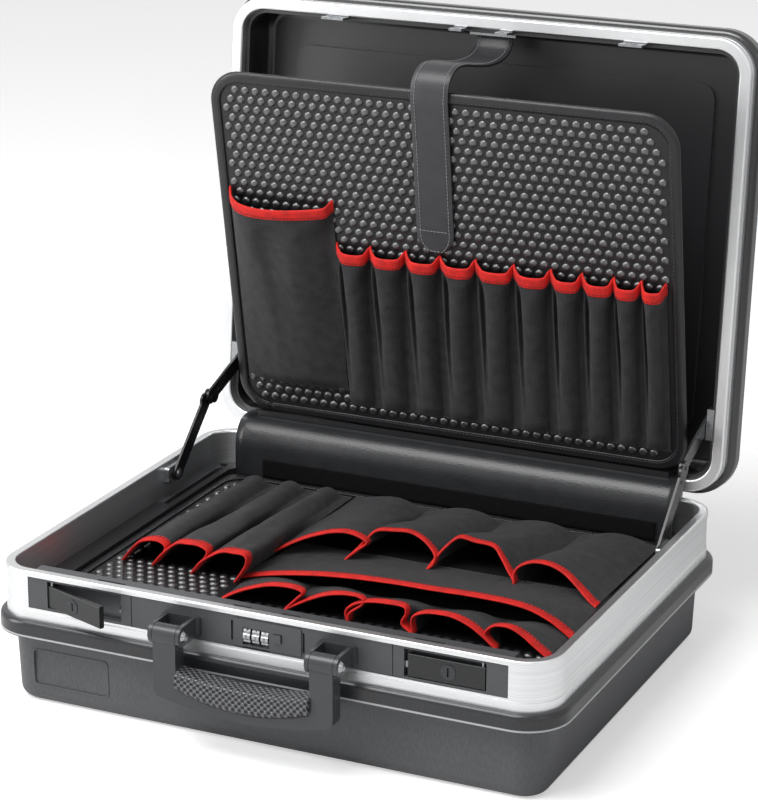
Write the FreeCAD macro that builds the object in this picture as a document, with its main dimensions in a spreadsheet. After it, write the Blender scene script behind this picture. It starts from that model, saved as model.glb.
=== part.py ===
# Hard tool case with a moulded shell, aluminium rim frames, lock strip, carrying handle,
# folding lid stays and two pocket boards, stored with its lid open.
# Frame: X to the right, Y from the handle side to the hinge side, Z up.
# The origin is the centre of the flat underside. Lengths are in millimetres.
import FreeCAD
import Part
import Sketcher
import math
import os
from FreeCAD import Placement, Rotation, Vector

SIZES = {
    # outline shared by both halves
    "case_width": 465.0,
    "case_depth": 375.0,
    "corner_radius": 30.0,
    # base half, from the underside up
    "floor_thickness": 3.5,
    "base_body_height": 60.0,
    "bead_height": 14.0,
    "base_frame_height": 39.5,
    "base_frame_wall": 8.0,
    # lid half, from the mouth up
    "mating_gap": 0.4,
    "lid_frame_height": 15.0,
    "lid_frame_wall": 10.0,
    "lid_body_height": 19.0,
    # moulded shell section
    "bead_proud": 5.5,
    "bead_top_round": 4.5,
    "shell_inset": 7.0,
    "shell_wall": 3.3,
    "shell_draft": 2.4,
    "shell_edge_round": 10.0,
    "cavity_edge_round": 6.0,
    "upstand_height": 7.5,
    "fit_gap": 0.2,
    "label_width": 65.0,
    "label_height": 29.0,
    "label_depth": 1.2,
    "label_round": 3.0,
    "label_from_corner": 64.0,
    "label_middle_height": 31.0,
    "lid_panel_margin": 42.0,
    "lid_panel_rise": 3.0,
    "lid_panel_round": 14.0,
    # rim frame section
    "frame_lip_height": 7.0,
    "frame_rim_height": 4.5,
    "frame_band_relief": 0.7,
    "frame_edge_round": 1.6,
    # lid opening
    "lid_open_angle": 95.5,
    # piano hinge
    "hinge_end_gap": 32.5,
    "hinge_knuckles": 16,
    "hinge_knuckle_radius": 3.0,
    "hinge_pin_radius": 1.5,
    "hinge_running_gap": 0.05,
    "hinge_side_gap": 0.3,
    "hinge_leaf_thickness": 1.2,
    "hinge_base_leaf_height": 24.0,
    "hinge_lid_leaf_height": 11.5,
    # lock strip in the front wall of the base frame
    "strip_end_gap": 32.5,
    "strip_height": 26.0,
    "strip_below_rim": 4.2,
    "strip_setback": 1.0,
    "strip_clearance": 0.3,
    "lock_case_depth": 14.5,
    "lock_case_top_gap": 2.5,
    # latches
    "latch_pocket_length": 65.0,
    "latch_pocket_from_end": 49.5,
    "latch_pocket_height": 22.0,
    "latch_pocket_depth": 5.4,
    "latch_height": 18.0,
    "latch_thickness": 4.4,
    "latch_tip_gap": 3.2,
    "latch_end_gap": 1.0,
    "latch_side_gap": 0.4,
    "latch_edge_round": 1.0,
    "latch_pin_radius": 1.2,
    "latch_pin_inset": 3.4,
    "latch_left_open": 20.0,
    "catch_width": 2.4,
    "catch_height": 5.0,
    "key_radius": 6.0,
    "key_proud": 0.4,
    "key_slot_width": 1.3,
    "key_slot_length": 7.0,
    "key_slot_depth": 1.8,
    "key_from_end": 30.0,
    "running_gap": 0.05,
    # combination lock
    "dial_radius": 9.0,
    "dial_width": 5.8,
    "dial_pitch": 7.5,
    "dial_proud": 1.0,
    "dial_drop": 2.8,
    "dial_middle_x": -2.7,
    "dial_facets": 10,
    "dial_flute_radius": 1.6,
    "dial_axle_radius": 1.5,
    "plate_left": 21.0,
    "plate_right": 35.0,
    "plate_height": 22.0,
    "plate_proud": 0.8,
    "plate_round": 1.5,
    "window_height": 13.5,
    "window_margin": 0.6,
    "end_slot_width": 1.8,
    "end_slot_height": 16.0,
    "end_slot_depth": 2.0,
    "button_size": 6.2,
    "button_proud": 1.6,
    "button_x": 15.5,
    "button_travel": 1.2,
    "button_round": 0.4,
    "seam_width": 0.8,
    "seam_from_pocket": 9.0,
    # carrying handle
    "handle_arm_middle": 65.0,
    "handle_arm_width": 19.0,
    "handle_arm_thickness": 13.0,
    "handle_knuckle_radius": 8.0,
    "handle_reach": 22.0,
    "handle_pivot_drop": 2.3,
    "handle_drop": 47.5,
    "handle_bow": 10.0,
    "handle_bar_height": 7.0,
    "handle_corner_round": 6.0,
    "grip_height": 15.0,
    "grip_thickness": 21.0,
    "grip_round": 6.0,
    "ear_thickness": 3.2,
    "ear_gap": 0.4,
    "bracket_height": 17.0,
    "bracket_foot": 4.0,
    "bracket_side": 3.0,
    "handle_pin_radius": 3.0,
    "handle_cap_radius": 4.6,
    "handle_cap_height": 2.4,
    # strikes on the lid
    "latch_strike_from_middle": 17.5,
    "latch_strike_width": 20.0,
    "lock_strike_x": 20.5,
    "lock_strike_width": 11.0,
    "strike_thickness": 2.0,
    "strike_foot_height": 7.0,
    "strike_drop": 11.0,
    "strike_eye_height": 4.0,
    "strike_clearance": 1.0,
    "strike_slot_gap": 2.0,
    # folding stays
    "stay_base_run": 104.8,
    "stay_base_drop": 10.5,
    "stay_lid_run": 59.0,
    "stay_lid_depth": 7.0,
    "stay_lower_length": 77.0,
    "stay_upper_length": 64.0,
    "stay_link_width": 13.0,
    "stay_link_thickness": 2.0,
    "stay_link_gap": 0.4,
    "stay_stand_off": 6.0,
    "stay_pin_radius": 2.4,
    "stay_head_radius": 4.2,
    "stay_head_height": 1.2,
    "stay_rivet_radius": 1.9,
    "stay_bracket_length": 26.0,
    "stay_bracket_height": 15.0,
    # tray rim round the base compartment
    "tray_flange_width": 17.5,
    "tray_flange_thickness": 2.5,
    "tray_wall": 2.4,
    "tray_step": 7.5,
    "tray_ledge": 8.0,
    "tray_ledge_thickness": 2.5,
    "tray_rear_flange": 11.0,
    "tray_corner_round": 12.0,
    "stay_slot_gap": 1.0,
    "stay_slot_front_run": 130.8,
    "stay_slot_back_run": 20.8,
    # base pocket board
    "base_board_thickness": 3.0,
    "base_board_gap": 1.2,
    "base_board_rear_gap": 9.0,
    "board_binding_width": 9.0,
    "board_binding_proud": 0.8,
    # lid pocket board
    "lid_board_side_gap": 27.5,
    "lid_board_end_gap": 60.0,
    "lid_board_thickness": 3.2,
    "lid_board_round": 28.0,
    "lid_board_lean": 10.4,
    "lid_board_foot_gap": 2.0,
    "lid_board_foot_rise": 21.7,
    "rail_end_gap": 15.0,
    "rail_height": 13.0,
    # sewn pockets
    "cloth": 1.2,
    "binding_thickness": 0.8,
    "binding_height": 9.0,
    "binding_gap": 0.1,
    "binding_side": 0.3,
    "large_pocket_mouth": 19.0,
    "large_pocket_end": 10.0,
    "small_pocket_count": 10,
    "small_pocket_seam": 1.4,
    "small_pocket_mouth": 13.0,
    "small_pocket_end": 4.0,
    "left_pocket_count": 3,
    "left_pocket_mouth": 22.0,
    "left_pocket_end": 8.0,
    "rear_pocket_count": 4,
    "rear_pocket_mouth": 25.0,
    "rear_pocket_end": 9.0,
    "long_pocket_mouth": 18.0,
    "long_pocket_end": 7.0,
    "front_pocket_count": 5,
    "front_pocket_mouth": 21.0,
    "front_pocket_end": 9.0,
    "pocket_seam": 2.0,
    # strap that holds the lid board
    "strap_width": 41.0,
    "strap_middle_x": -5.0,
    "strap_shift": 11.0,
    "strap_round": 15.0,
    "strap_thickness": 2.6,
    "strap_fastener_size": 24.0,
    "strap_fastener_thickness": 1.6,
    "strap_anchor_length": 14.0,
    "strap_anchor_thickness": 2.0,
    "strap_sag": 8.0,
    # leatherette cover over the hinge and its hook-and-loop strip
    "cover_end_gap": 30.5,
    "cover_thickness": 1.8,
    "cover_front_gap": 24.5,
    "cover_round": 18.0,
    "cover_lid_run": 7.0,
    "hook_end_gap": 21.0,
    "hook_middle_x": 6.5,
    "hook_height": 16.0,
    "hook_thickness": 1.6,
    "hook_above_board": 1.0,
    # one overrun serves all cuts
    "overrun": 5.0,
}


class Size:
    """A length with its value and the sheet expression that gives it."""

    def __init__(self, number, text):
        self.number = number
        self.text = text

    def __float__(self):
        return float(self.number)

    def __neg__(self):
        return Size(-self.number, f"(-{self.text})")

    def __add__(self, other):
        other = as_size(other)
        return Size(self.number + other.number, f"({self.text} + {other.text})")

    def __sub__(self, other):
        other = as_size(other)
        return Size(self.number - other.number, f"({self.text} - {other.text})")

    def __mul__(self, share):
        share = as_size(share)
        return Size(self.number * share.number, f"({self.text} * {share.text})")

    def __truediv__(self, share):
        share = as_size(share)
        return Size(self.number / share.number, f"({self.text} / {share.text})")

    __rmul__ = __mul__

    def __radd__(self, other):
        return as_size(other) + self

    def __rsub__(self, other):
        return as_size(other) - self


def as_size(value):
    if isinstance(value, Size):
        return value
    return Size(value, f"{value:.9f}")


def numbers(*values):
    return [float(value) for value in values]


def tangent(angle):
    """The tangent of an angle of the sheet, in degrees, as a Size."""
    return Size(math.tan(math.radians(float(angle))), f"tan({angle.text} * 1 deg)")


doc = FreeCAD.newDocument("hard_tool_case")
sheet = doc.addObject("Spreadsheet::Sheet", "Sizes")
for row, (alias, number) in enumerate(SIZES.items(), start=1):
    sheet.set(f"A{row}", alias.replace("_", " "))
    sheet.set(f"B{row}", str(number))
    sheet.setAlias(f"B{row}", alias)
doc.recompute()


class Sheet:
    """Sizes by name: size.case_width is the cell with that alias."""

    def __getattr__(self, alias):
        return Size(float(sheet.get(alias)), f"Sizes.{alias}")


size = Sheet()
X_AXIS = Vector(1, 0, 0)
Y_AXIS = Vector(0, 1, 0)
Z_AXIS = Vector(0, 0, 1)
TINY = 1e-6
nodes = {}


def keep(name, obj):
    """Name a finished sub-part: its label is its file name."""
    obj.Label = name
    nodes[name] = obj
    return obj


def bind(obj, **properties):
    for name, value in properties.items():
        obj.setExpression(name.replace("__", "."), as_size(value).text)
    return obj


def place(obj, x, y, z):
    return bind(obj, Placement__Base__x=x, Placement__Base__y=y, Placement__Base__z=z)


def block(name, middle, lengths):
    """A box about its middle point."""
    box = doc.addObject("Part::Box", name)
    bind(box, Length=lengths[0], Width=lengths[1], Height=lengths[2])
    return place(box, *[as_size(m) - as_size(l) / 2 for m, l in zip(middle, lengths)])


def rod(name, radius, length, start, axis=Z_AXIS):
    """A cylinder that runs from its start point along an axis."""
    cylinder = doc.addObject("Part::Cylinder", name)
    bind(cylinder, Radius=radius, Height=length)
    cylinder.Placement = Placement(Vector(), Rotation(Z_AXIS, axis))
    return place(cylinder, *start)


# Share of its foot's radius that the flat top of a domed head has
cap_top_share = 0.6


def dome(name, radius, height, start, axis):
    """A rivet head: a short cone that narrows along its axis."""
    cone = doc.addObject("Part::Cone", name)
    bind(cone, Radius1=radius, Radius2=radius * cap_top_share, Height=height)
    cone.Placement = Placement(Vector(), Rotation(Z_AXIS, axis))
    return place(cone, *start)


def join(name, *shapes):
    fuse = doc.addObject("Part::MultiFuse", name)
    fuse.Shapes = list(shapes)
    return fuse


def cut(name, base, *tools):
    difference = doc.addObject("Part::Cut", name)
    difference.Base = base
    difference.Tool = tools[0] if len(tools) == 1 else join(name + "_cuts", *tools)
    return difference


def group(name, *shapes):
    """Like pieces that share one node as separate solids."""
    compound = doc.addObject("Part::Compound", name)
    compound.Links = list(shapes)
    return keep(name, compound)


def rounded(name, base, radius, chosen):
    """Round the edges of a solid that the test picks."""
    doc.recompute()
    fillet = doc.addObject("Part::Fillet", name)
    fillet.Base = base
    amount = float(radius)
    fillet.Edges = [(i, amount, amount) for i, e in enumerate(base.Shape.Edges, start=1) if chosen(e)]
    return fillet


def level(height):
    """Test for edges that lie at one height."""
    z = float(height)
    return lambda edge: abs(edge.BoundBox.ZMin - z) < TINY and abs(edge.BoundBox.ZMax - z) < TINY


def along(axis):
    """Test for straight edges parallel to an axis."""
    def parallel(edge):
        if edge.Curve.TypeId != "Part::GeomLine":
            return False
        return abs(abs(edge.Curve.Direction.dot(axis)) - 1) < TINY
    return parallel


def origin_plane(body, role):
    return next(feature for feature in body.Origin.OriginFeatures if feature.Role == role)


def new_body(name):
    body = doc.addObject("PartDesign::Body", name)
    return body


def new_sketch(body, name, plane, height):
    sketch = body.newObject("Sketcher::SketchObject", name)
    sketch.AttachmentSupport = (origin_plane(body, plane), "")
    sketch.MapMode = "FlatFace"
    bind(sketch, AttachmentOffset__Base__z=height)
    return sketch


def outline(sketch, left, right, front, back, radius):
    """A rectangle with four tangent corner arcs, measured from the sketch's origin."""
    l, r, f, b, q = numbers(left, right, front, back, radius)
    first = sketch.GeometryCount
    ends = [(l + q, f, r - q, f), (r, f + q, r, b - q), (r - q, b, l + q, b), (l, b - q, l, f + q)]
    centres = [(r - q, f + q), (r - q, b - q), (l + q, b - q), (l + q, f + q)]
    for turn, (line, centre) in enumerate(zip(ends, centres)):
        x1, y1, x2, y2 = line
        sketch.addGeometry(Part.LineSegment(Vector(x1, y1, 0), Vector(x2, y2, 0)))
        start = math.radians(90 * turn - 90)
        circle = Part.Circle(Vector(*centre, 0), Z_AXIS, q)
        sketch.addGeometry(Part.ArcOfCircle(circle, start, start + math.pi / 2))
    for turn in range(4):
        line = first + 2 * turn
        after = first + (2 * turn + 2) % 8
        sketch.addConstraint(Sketcher.Constraint("Tangent", line, 2, line + 1, 1))
        sketch.addConstraint(Sketcher.Constraint("Tangent", line + 1, 2, after, 1))
        sketch.addConstraint(Sketcher.Constraint(("Horizontal", "Vertical")[turn % 2], line))
        if turn:
            sketch.addConstraint(Sketcher.Constraint("Equal", first + 1, line + 1))
    measured = [
        (Sketcher.Constraint("Radius", first + 1, q), radius),
        (Sketcher.Constraint("DistanceY", first, 1, -1, 1, -f), -as_size(front)),
        (Sketcher.Constraint("DistanceX", -1, 1, first + 2, 1, r), right),
        (Sketcher.Constraint("DistanceY", -1, 1, first + 4, 1, b), back),
        (Sketcher.Constraint("DistanceX", first + 6, 1, -1, 1, -l), -as_size(left)),
    ]
    for constraint, value in measured:
        index = sketch.addConstraint(constraint)
        sketch.setExpression(f"Constraints[{index}]", as_size(value).text)


def centred(half_width, half_depth, radius):
    return (-half_width, half_width, -half_depth, half_depth, radius)


def inset(amount):
    """The case outline moved in by an amount, or out if it is negative."""
    return centred(size.case_width / 2 - amount, size.case_depth / 2 - amount, size.corner_radius - amount)


def layer(body, name, bottom, thickness, *outlines, draft=None, down=False):
    """A pad of one outline, or of a ring between two."""
    sketch = new_sketch(body, name + "_sketch", "XY_Plane", bottom)
    for shape in outlines:
        outline(sketch, *shape)
    pad = body.newObject("PartDesign::Pad", name)
    pad.Profile = sketch
    pad.Reversed = down
    bind(pad, Length=thickness)
    if draft is not None:
        bind(pad, TaperAngle=draft)
    doc.recompute()
    return pad


def hollow(body, name, start, depth, shape, draft=None, up=False):
    """A pocket from a level surface, downwards or up."""
    before = body.Shape.Volume
    sketch = new_sketch(body, name + "_sketch", "XY_Plane", start)
    outline(sketch, *shape)
    pocket = body.newObject("PartDesign::Pocket", name)
    pocket.Profile = sketch
    pocket.Reversed = up
    bind(pocket, Length=depth)
    if draft is not None:
        bind(pocket, TaperAngle=draft)
    doc.recompute()
    if body.Shape.Volume >= before:
        raise RuntimeError(name + " cuts nothing")
    return pocket


def soften(body, name, radius, chosen):
    """A fillet on the edges that the test picks from the body's last feature."""
    last = body.Tip
    fillet = body.newObject("PartDesign::Fillet", name)
    names = [f"Edge{i}" for i, e in enumerate(last.Shape.Edges, start=1) if chosen(e)]
    fillet.Base = (last, names)
    bind(fillet, Radius=radius)
    doc.recompute()
    return fillet


# Heights and planes that several pieces share
half_width = size.case_width / 2
half_depth = size.case_depth / 2
bead_bottom = size.base_body_height
frame_bottom = bead_bottom + size.bead_height
rim_height = frame_bottom + size.base_frame_height
upstand_top = frame_bottom + size.upstand_height
mouth_height = rim_height + size.mating_gap
lid_frame_top = mouth_height + size.lid_frame_height
lid_bead_top = lid_frame_top + size.bead_height
lid_top = lid_bead_top + size.lid_body_height
hinge_y = half_depth + size.hinge_knuckle_radius + size.hinge_side_gap
hinge_z = rim_height + size.mating_gap / 2
front_face = -half_depth
frame_inner_front = -half_depth + size.base_frame_wall
strip_face = front_face + size.strip_setback
strip_top = rim_height - size.strip_below_rim
strip_bottom = strip_top - size.strip_height
strip_middle = (strip_top + strip_bottom) / 2
strip_length = size.case_width - 2 * size.strip_end_gap
latch_pocket_middle = strip_length / 2 - size.latch_pocket_from_end
latch_strike_x = latch_pocket_middle - size.latch_strike_from_middle
handle_pivot_height = strip_middle - size.handle_pivot_drop
hinge_length = size.case_width - 2 * size.hinge_end_gap
stay_base_y = hinge_y - size.stay_base_run
stay_base_height = rim_height - size.stay_base_drop
lid_board_width = size.case_width - 2 * size.lid_board_side_gap
lid_board_height = size.case_depth - size.lid_board_end_gap
cover_length = size.case_width - 2 * size.cover_end_gap
cover_front_y = half_depth - size.cover_front_gap


def on_lid(obj):
    """Swing a piece that is modelled with the lid shut to the stored open lid."""
    centre = Vector(0, float(hinge_y), float(hinge_z))
    swing = Placement(Vector(), Rotation(X_AXIS, -float(size.lid_open_angle)), centre)
    obj.Placement = swing * obj.Placement
    return obj


# Moulded base shell: drafted body, bead under the frame, upstand inside the frame
def base_shell():
    tub = new_body("base_tub")
    body_outline = inset(size.shell_inset)
    layer(tub, "base_walls", bead_bottom, bead_bottom, body_outline, draft=-size.shell_draft, down=True)
    layer(tub, "base_bead", bead_bottom, size.bead_height, inset(-size.bead_proud))
    soften(tub, "base_bead_top", size.bead_top_round, level(frame_bottom))
    inner = size.base_frame_wall + size.fit_gap
    layer(tub, "base_upstand", frame_bottom, size.upstand_height, inset(inner))
    soften(tub, "base_outer_edge", size.shell_edge_round, level(0))
    deep = upstand_top - size.floor_thickness
    cavity = inset(inner + size.shell_wall)
    hollow(tub, "base_cavity", upstand_top, deep, cavity, draft=-size.shell_draft / 2)
    soften(tub, "base_cavity_edge", size.cavity_edge_round, level(size.floor_thickness))
    drop = bead_bottom - size.label_middle_height
    front = front_face + size.shell_inset + drop * tangent(size.shell_draft)
    middle = (-half_width + size.label_from_corner, front, size.label_middle_height)
    plain = block("label_block", middle, (size.label_width, size.label_depth * 2, size.label_height))
    recess = rounded("label_recess", plain, size.label_round, along(Y_AXIS))
    return keep("base_shell", cut("base_shell", tub, recess))


# Rim frames: lip, relieved band and rounded rim, one outline inside the other
def frame_ring(name, bottom, height, wall, mouth_up):
    ring = new_body(name)
    hole = inset(wall)
    lip = size.frame_lip_height if mouth_up else size.frame_rim_height
    rim = size.frame_rim_height if mouth_up else size.frame_lip_height
    layer(ring, name + "_lower", bottom, lip, inset(0), hole)
    layer(ring, name + "_band", bottom + lip, height - lip - rim, inset(size.frame_band_relief), hole)
    layer(ring, name + "_upper", bottom + height - rim, rim, inset(0), hole)
    mouth = bottom + height if mouth_up else bottom
    soften(ring, name + "_mouth_edge", size.frame_edge_round, level(mouth))
    return ring


def base_frame():
    ring = frame_ring("base_ring", frame_bottom, size.base_frame_height, size.base_frame_wall, True)
    wall = size.base_frame_wall
    lengths = (strip_length, wall + 2 * size.overrun, size.strip_height)
    window = block("strip_window", (0, front_face + wall / 2, strip_middle), lengths)
    return keep("base_frame", cut("base_frame", ring, window))


def lid_frame():
    ring = frame_ring("lid_ring", mouth_height, size.lid_frame_height, size.lid_frame_wall, False)
    return keep("lid_frame", on_lid(ring))


def lid_shell():
    cap = new_body("lid_cap")
    inner = size.lid_frame_wall + size.fit_gap
    layer(cap, "lid_bead", lid_frame_top, size.bead_height, inset(-size.bead_proud))
    soften(cap, "lid_bead_edge", size.bead_top_round, level(lid_frame_top))
    walls = inset(size.shell_inset)
    layer(cap, "lid_walls", lid_bead_top, size.lid_body_height, walls, draft=-size.shell_draft)
    soften(cap, "lid_outer_edge", size.shell_edge_round, level(lid_top))
    layer(cap, "lid_upstand", lid_frame_top - size.upstand_height, size.upstand_height, inset(inner))
    mouth = lid_frame_top - size.upstand_height
    deep = lid_top - size.floor_thickness - mouth
    cavity = inset(inner + size.shell_wall)
    hollow(cap, "lid_cavity", mouth, deep, cavity, draft=-size.shell_draft / 2, up=True)
    soften(cap, "lid_cavity_edge", size.cavity_edge_round, level(lid_top - size.floor_thickness))
    across = half_width - size.lid_panel_margin
    along_y = half_depth - size.lid_panel_margin
    panel = centred(across, along_y, size.lid_panel_round)
    ceiling = lid_top - size.floor_thickness
    height = size.lid_panel_rise + size.floor_thickness / 2
    layer(cap, "lid_panel", ceiling - size.lid_panel_rise, height, panel)
    return keep("lid_shell", on_lid(cap))


# Piano hinge outside the rear wall: knuckles take turns along one pin
def hinge_leaf(name, own_turn, leaf_bottom, leaf_height):
    pitch = hinge_length / float(size.hinge_knuckles)
    radius = size.hinge_knuckle_radius
    thickness = size.hinge_leaf_thickness
    start = -hinge_length / 2
    y = half_depth + thickness / 2
    middle = (0, y, leaf_bottom + leaf_height / 2)
    solids = [block(name + "_plate", middle, (hinge_length, thickness, leaf_height))]
    pin_way = size.hinge_pin_radius + size.hinge_running_gap
    reach = hinge_z - leaf_bottom if own_turn == 0 else leaf_bottom + leaf_height - hinge_z
    web_z = hinge_z - reach / 2 if own_turn == 0 else hinge_z + reach / 2
    for turn in range(own_turn, int(float(size.hinge_knuckles)), 2):
        x = start + pitch * turn + size.hinge_side_gap / 2
        length = pitch - size.hinge_side_gap
        solids.append(rod(f"{name}_knuckle_{turn}", radius, length, (x, hinge_y, hinge_z), X_AXIS))
        web = (x + length / 2, y, web_z)
        solids.append(block(f"{name}_web_{turn}", web, (length, thickness, reach)))
    bore = rod(name + "_bore", pin_way, hinge_length, (start, hinge_y, hinge_z), X_AXIS)
    return cut(name, join(name + "_solid", *solids), bore)


def hinge():
    base_height = size.hinge_base_leaf_height
    base_top = hinge_z - size.hinge_knuckle_radius - size.hinge_side_gap
    keep("hinge_base_leaf", hinge_leaf("hinge_base_leaf", 0, base_top - base_height, base_height))
    lid_bottom = hinge_z + size.hinge_knuckle_radius + size.hinge_side_gap
    lid_leaf = hinge_leaf("hinge_lid_leaf", 1, lid_bottom, size.hinge_lid_leaf_height)
    keep("hinge_lid_leaf", on_lid(lid_leaf))
    start = (-hinge_length / 2, hinge_y, hinge_z)
    keep("hinge_pin", rod("hinge_pin", size.hinge_pin_radius, hinge_length, start, X_AXIS))


# Shares of a flute's radius that lies outside the dial, and of the bow that the grip's top takes
flute_depth_share = 0.6
grip_crown_share = 0.5

# Lock strip: one long moulding in the frame's window, with the lock case behind it
latch_height_low = strip_middle - size.latch_pocket_height / 2
latch_middle_z = latch_height_low + size.latch_side_gap + size.latch_height / 2
pocket_floor = strip_face + size.latch_pocket_depth
strip_back = frame_inner_front - size.fit_gap
case_back = frame_inner_front + size.lock_case_depth
dial_y = strip_face - size.plate_proud - size.dial_proud + size.dial_radius
dial_z = strip_middle - size.dial_drop
dial_span = size.dial_pitch * 2 + size.dial_width
pin_y = strip_face + size.latch_thickness / 2


def lock_strip():
    gap = size.strip_clearance
    thickness = strip_back - strip_face
    y = strip_face + thickness / 2
    lengths = (strip_length - 2 * gap, thickness, size.strip_height - 2 * gap)
    bar = block("strip_bar", (0, y, strip_middle), lengths)
    cuts = []
    seam_x = latch_pocket_middle - size.latch_pocket_length / 2 - size.seam_from_pocket
    for side in (-1, 1):
        pocket_y = strip_face + size.latch_pocket_depth / 2 - size.overrun / 2
        pocket = (latch_pocket_middle * side, pocket_y, strip_middle)
        pocket_depth = size.latch_pocket_depth + size.overrun
        pocket_size = (size.latch_pocket_length, pocket_depth, size.latch_pocket_height)
        cuts.append(block(f"latch_pocket_{side}", pocket, pocket_size))
        cuts.append(rod(f"latch_pin_way_{side}", size.latch_pin_radius, size.strip_height, pin_start(side)))
        seam = (seam_x * side, strip_face, strip_middle)
        seam_size = (size.seam_width, size.seam_width * 2, size.strip_height)
        cuts.append(block(f"strip_seam_{side}", seam, seam_size))
    for side, reach in ((-1, size.plate_left), (1, size.plate_right)):
        slot = (reach * side + size.end_slot_width * side, strip_face, strip_middle)
        slot_size = (size.end_slot_width, size.end_slot_depth * 2, size.end_slot_height)
        cuts.append(block(f"strip_end_slot_{side}", slot, slot_size))
    cuts.append(button_way("strip_button_way", y, thickness + 2 * size.overrun))
    cuts.append(dial_room("strip_dial_room"))
    cuts.append(axle("strip_axle_way"))
    return keep("lock_strip", cut("lock_strip", bar, *cuts))


def pin_start(side):
    x = (latch_pocket_middle + size.latch_pocket_length / 2 - size.latch_pin_inset) * side
    return (x, pin_y, strip_bottom + size.strip_clearance * 2)


def dial_window(name, y, depth):
    width = dial_span + 2 * size.window_margin
    return block(name, (size.dial_middle_x, y, dial_z), (width, depth, size.window_height))


def dial_room(name):
    """The space that the dials turn in, open to the front behind the plate."""
    room = size.dial_radius * 2 + 2 * size.window_margin
    front = strip_face - size.overrun
    back = dial_y + size.dial_radius + size.window_margin
    middle = (size.dial_middle_x, (front + back) / 2, dial_z)
    return block(name, middle, (dial_span + 2 * size.window_margin, back - front, room))


def button_way(name, y, depth):
    side = size.button_size + 2 * size.strip_clearance
    return block(name, (size.button_x, y, strip_middle), (side, depth, side))


def lock_case():
    """The closed box inside the front wall that the strikes drop into."""
    gap = size.strip_clearance
    depth = case_back - frame_inner_front
    floor = upstand_top + size.tray_flange_thickness + gap
    top = rim_height - size.lock_case_top_gap
    y = frame_inner_front + depth / 2
    middle = (0, y, (floor + top) / 2)
    box = block("case_box", middle, (strip_length - 2 * gap, depth, top - floor))
    shell = rounded("case_rounded", box, size.latch_edge_round, along(X_AXIS))
    cuts = []
    for name, x, width in (("latch", latch_strike_x, size.latch_strike_width),
                           ("lock", size.lock_strike_x, size.lock_strike_width)):
        for side in (-1, 1):
            slot_depth = size.strike_drop + size.strike_slot_gap
            slot_width = width + 2 * size.strike_slot_gap
            thickness = size.strike_thickness + size.strike_clearance + 2 * size.strike_slot_gap
            slot_y = frame_inner_front + thickness / 2 - size.fit_gap
            slot = (x * side, slot_y, rim_height - slot_depth / 2)
            cuts.append(block(f"{name}_slot_{side}", slot, (slot_width, thickness, slot_depth)))
    cuts.append(dial_room("case_dial_room"))
    travel = size.button_travel + size.strip_clearance
    button_room = (size.button_x, frame_inner_front, strip_middle)
    side = size.button_size + 2 * size.strip_clearance
    cuts.append(block("button_room", button_room, (side, 2 * travel, side)))
    cuts.append(axle("case_axle_way"))
    return keep("lock_case", cut("lock_case", shell, *cuts))


def combination_lock():
    left, right = size.plate_left, size.plate_right
    x = (right - left) / 2
    y = strip_face - size.plate_proud / 2
    plain = block("plate_blank", (x, y, strip_middle), (left + right, size.plate_proud, size.plate_height))
    plate = rounded("plate_rounded", plain, size.plate_round, along(Y_AXIS))
    depth = size.plate_proud + 2 * size.overrun
    window = dial_window("plate_window", y, depth)
    way = button_way("plate_button_way", y, depth)
    keep("combination_plate", cut("combination_plate", plate, window, way))
    for turn, name in enumerate(("dial_left", "dial_middle", "dial_right")):
        number_dial(name, size.dial_middle_x + size.dial_pitch * (turn - 1))
    keep("dial_axle", axle("axle_rod"))
    button_y = strip_face - size.plate_proud - size.button_proud
    length = strip_back - button_y
    middle = (size.button_x, button_y + length / 2, strip_middle)
    key = block("button_block", middle, (size.button_size, length, size.button_size))
    keep("lock_button", rounded("button_rounded", key, size.button_round, along(Y_AXIS)))


def axle(name):
    """The dials' axle, whose ends lie in the strip and the lock case."""
    wall = size.window_margin + size.dial_axle_radius
    start = (size.dial_middle_x - dial_span / 2 - wall, dial_y, dial_z)
    return rod(name, size.dial_axle_radius, dial_span + 2 * wall, start, X_AXIS)


def number_dial(name, x):
    """A thumb dial with a finger flute between each pair of its ten figures."""
    start = x - size.dial_width / 2
    disc = rod(name + "_disc", size.dial_radius, size.dial_width, (start, dial_y, dial_z), X_AXIS)
    bore_radius = size.dial_axle_radius + size.running_gap
    first = start - size.overrun
    length = size.dial_width + 2 * size.overrun
    cuts = [rod(name + "_bore", bore_radius, length, (first, dial_y, dial_z), X_AXIS)]
    count = int(float(size.dial_facets))
    ring = size.dial_radius + size.dial_flute_radius * flute_depth_share
    for turn in range(count):
        angle = math.tau * (turn + 0.5) / count
        y = dial_y + ring * math.cos(angle)
        z = dial_z + ring * math.sin(angle)
        cuts.append(rod(f"{name}_flute_{turn}", size.dial_flute_radius, length, (first, y, z), X_AXIS))
    return keep(name, cut(name, disc, *cuts))


# Latches: a lever in each end pocket turns about an upright pin and carries a key cylinder
def latch_outer_x():
    return latch_pocket_middle + size.latch_pocket_length / 2


def open_left(obj, side):
    """Turn a piece of the left latch to its stored open position."""
    if side < 0:
        x, y, z = pin_start(side)
        centre = Vector(*numbers(x, y, z))
        swing = Placement(Vector(), Rotation(Z_AXIS, -float(size.latch_left_open)), centre)
        obj.Placement = swing * obj.Placement
    return obj


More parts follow.
